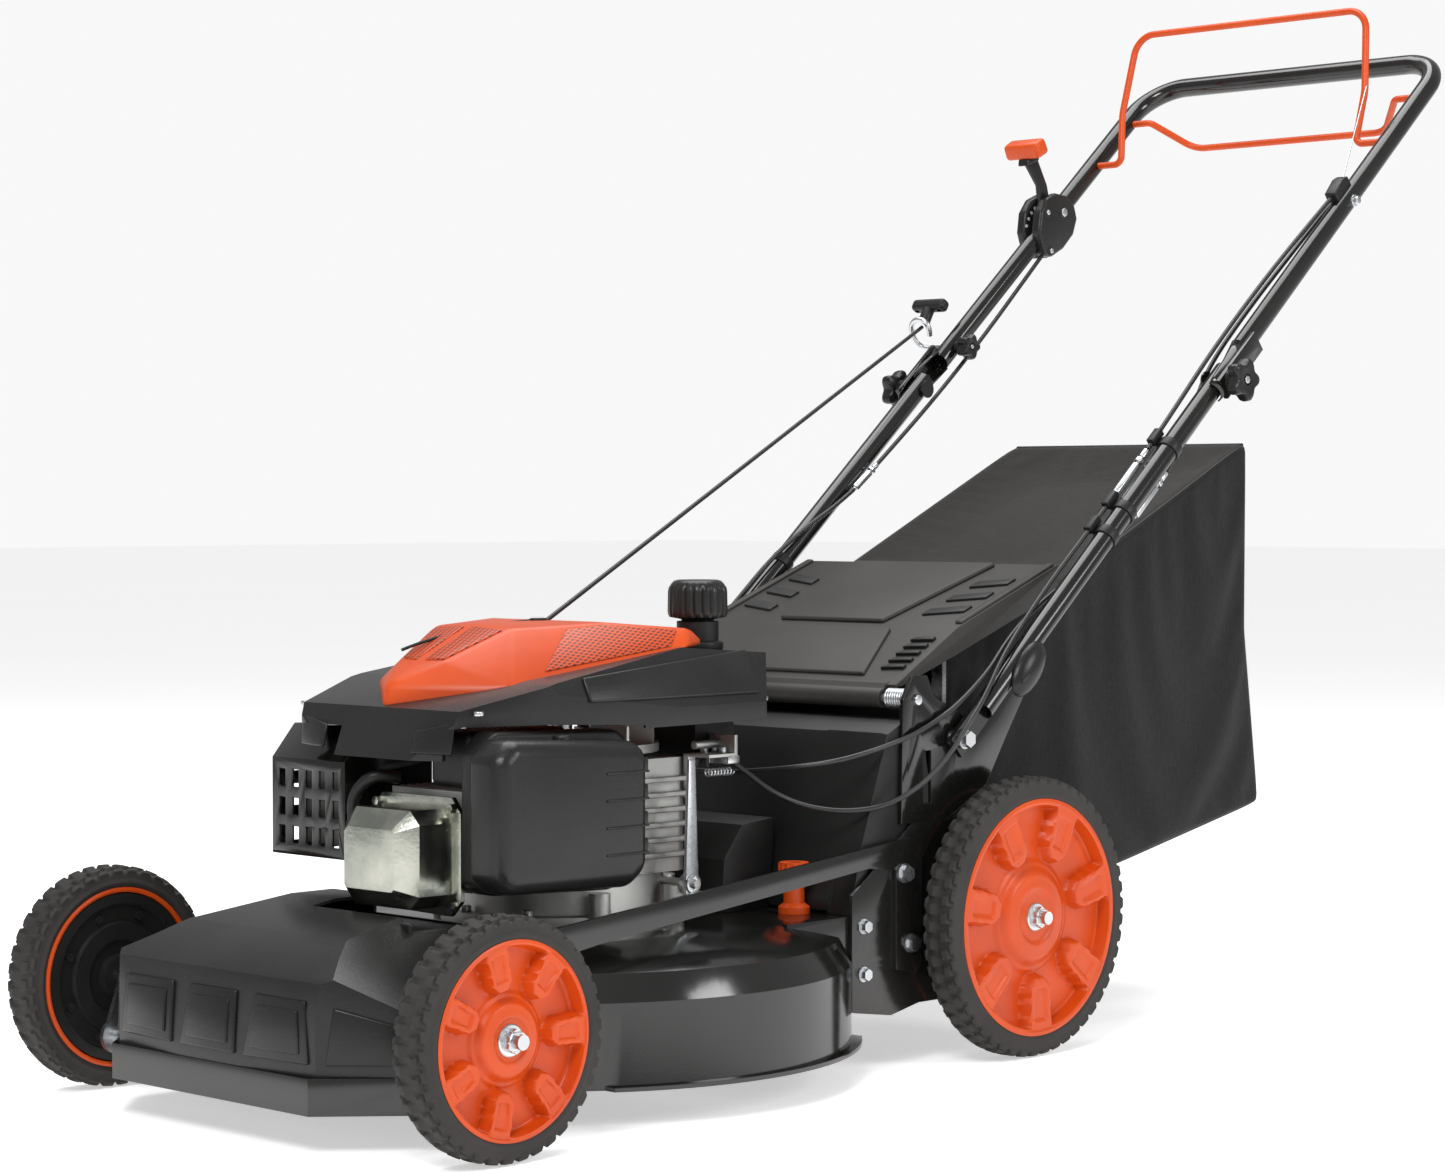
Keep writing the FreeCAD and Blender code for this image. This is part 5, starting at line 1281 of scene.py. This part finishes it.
def clips():
    """Threaded adjusters in bare zinc and the black clips that hold the cables to the tubes."""
    for start, end in (((ADJUST_A, 12.5, -12.5), (ADJUST_B, 12.5, -12.5)),
                       ((ADJUST_A, -17.5, -3), (ADJUST_B, -17.5, -3)),
                       ((FAR_A, -3, -17.5, -1), (FAR_B, -8, -16, -1))):
        low, high = Vector(beside(*start)), Vector(beside(*end))
        for name, share_a, share_b, radius, sides, edge in (
                ("adjuster_core", 0.02, 0.98, 2.3, 24, 0.6), ("adjuster_body", 0.06, 0.66, 4.6, 6, 0.8),
                ("adjuster_nut", 0.71, 0.78, 5.0, 6, 0.6), ("adjuster_ferrule", 0.82, 0.97, 3.4, 24, 0.6)):
            piece = drum(name, low.lerp(high, share_a), low.lerp(high, share_b), radius, ZINC, edge, sides)
            placed(piece, "lower_handle", "zinc_steel", "cable_adjusters")
    for side, along in ((1, 292.0), (1, 330.0), (1, 430.0), (-1, 243.0), (-1, 60.0)):
        ring = drum("cable_clip", (side * TUBE_X, *on_handle(along)), (side * TUBE_X, *on_handle(along + 11)),
                    TUBE_R + 1.7, PLASTIC, 0.8)
        placed(ring, "lower_handle", "black_plastic")
        if side > 0:
            hook = [on_handle(along + a, b) for a, b in ((-2, 9), (18, 9), (18, 18), (-2, 18))]
            placed(slab("clip_ear", hook, TUBE_X - 17, TUBE_X - 8, PLASTIC, 1.2), "lower_handle", "black_plastic")


LEVER_SHELL = ((-44, -14), (-34, -24), (-10, -30), (16, -29), (34, -19), (40, -4), (36, 14), (22, 28), (4, 34),
               (-16, 30), (-34, 14))
LEVER_CORE = ((-36, -22), (34, -20), (30, -12), (-34, -13))
LEVER_REACH = 66.0
LEVER_LEAN = math.radians(117)


def lever_housing(x):
    """Two rounded halves round the tube, the core between them, the speed marks and the screws."""
    outline = [on_handle(LEVER_ALONG + a, 2 + b) for a, b in LEVER_SHELL]
    for low, high in ((x - 18, x - 4.4), (x + 4.4, x + 18)):
        half = slab("lever_shell", outline, low, high, SATIN, 4.0)
        placed(half, "upper_handle", "black_plastic", "lever_housing")
    core = slab("lever_core", [on_handle(LEVER_ALONG + a, b) for a, b in LEVER_CORE], x - 12, x + 12, PLASTIC, 2.0)
    placed(core, "upper_handle", "black_plastic")
    for k in range(6):
        y, z = on_handle(LEVER_ALONG - 26 + k * 8.6, 17 + 9 * math.sin(math.pi * (k + 0.5) / 6))
        placed(drum("speed_mark", (x - 4.6, y, z), (x - 3.9, y, z), 2.0, DOT, 0.0, 16), "upper_handle", "zinc_steel")
    for along, above, radius in ((16, 6, 5.5), (-32, -14, 3.0), (-8, 24, 3.0)):
        y, z = on_handle(LEVER_ALONG + along, above)
        washer = drum("lever_recess", (x + 17.4, y, z), (x + 18.6, y, z), radius + 2.6, PLASTIC, 0.6, 32)
        bolt = drum("lever_bolt", (x + 18, y, z), (x + 21, y, z), radius, ZINC, 0.8, 6 if radius > 4 else 20)
        placed(washer, "upper_handle", "black_plastic")
        placed(bolt, "upper_handle", "zinc_steel")


def lever():
    """Speed lever: its housing on the tube, a forked arm and a T grip."""
    x = -TUBE_X
    lever_housing(x)
    y, z = on_handle(LEVER_ALONG, 2)
    y, z = y - 4, z + 20
    tip_y, tip_z = y + LEVER_REACH * math.cos(LEVER_LEAN), z + LEVER_REACH * math.sin(LEVER_LEAN)
    arm = slab("lever_arm", [(y - 9, z - 2), (y + 9, z + 2), (y + 2, z + 26), (tip_y + 11, tip_z + 2),
                             (tip_y - 9, tip_z - 6), (y - 13, z + 24)], x - 3.4, x + 3.4, SATIN, 1.6)
    placed(arm, "speed_lever", "black_plastic", "speed_lever")
    yoke = slab("lever_yoke", [(tip_y - 10, tip_z - 14), (tip_y + 12, tip_z - 6), (tip_y + 11, tip_z + 2),
                               (tip_y - 9, tip_z - 5)], x - 8, x + 8, SATIN, 2.2)
    placed(yoke, "speed_lever", "black_plastic")
    grip = slab("lever_grip", [(-11, 2), (11, 2), (10, 22), (-10, 21)], x - 25.5, x + 25.5, ORANGE, 5.0)
    turn = Matrix.Rotation(LEVER_LEAN - math.pi / 2, 4, "X")
    grip.data.transform(Matrix.Translation(at(0, tip_y + 1, tip_z - 4)) @ turn @ Matrix.Translation(-at(0, 0, 0)))
    placed(grip, "speed_lever", "orange_plastic")


def rope_eye():
    """Bent wire eye that parks the rope, with its small knob, and the pull grip."""
    x = -TUBE_X
    y, z = on_handle(LOWER_LENGTH + 76)
    end = x - 40
    eye = wire("guide_eye", [(x + 18, y, z), (x - 20, y, z), (end, y, z), (end - 8, y - 8, z + 8),
                             (end - 9, y - 14, z + 24), (end, y - 17, z + 33), (end + 12, y - 16, z + 32),
                             (end + 18, y - 12, z + 24), (end + 15, y - 8, z + 14)], 3.1, ZINC)
    placed(eye, "upper_handle", "zinc_steel", "rope_guide")
    knob, nut = star_knob("guide_knob", x + TUBE_R, 1, (y, z), 15.5)
    placed(knob, "upper_handle", "black_plastic", "rope_guide")
    placed(nut, "upper_handle", "zinc_steel")
    grip = shape_of("starter_grip", "pull_grip", PLASTIC, 2.5, 4)
    placed(grip, "starter_grip", "black_rubber", "starter_grip")


def cable_anchor():
    """Plastic block where the stop cable's sheath ends, with the screw through the tube."""
    outline = [on_handle(GUARD_ALONG + a, b) for a, b in ((-4, 9), (28, 9), (28, 22), (18, 25), (-4, 22))]
    anchor = slab("cable_anchor", outline, TUBE_X - 11, TUBE_X + 4, PLASTIC, 1.8)
    placed(anchor, "upper_handle", "black_plastic", "cable_stop")
    y, z = on_handle(GUARD_ALONG + 12)
    outside = TUBE_X + TUBE_R
    washer = drum("anchor_washer", (outside - 1, y, z), (outside + 1.2, y, z), 6.5, ZINC, 0.4, 32)
    bolt = drum("anchor_nut", (outside, y, z), (outside + 6, y, z), 4.8, ZINC, 0.8, 6)
    placed(washer, "upper_handle", "zinc_steel")
    placed(bolt, "upper_handle", "zinc_steel")


knobs()
saddles()
latches()
clips()
lever()
rope_eye()
cable_anchor()
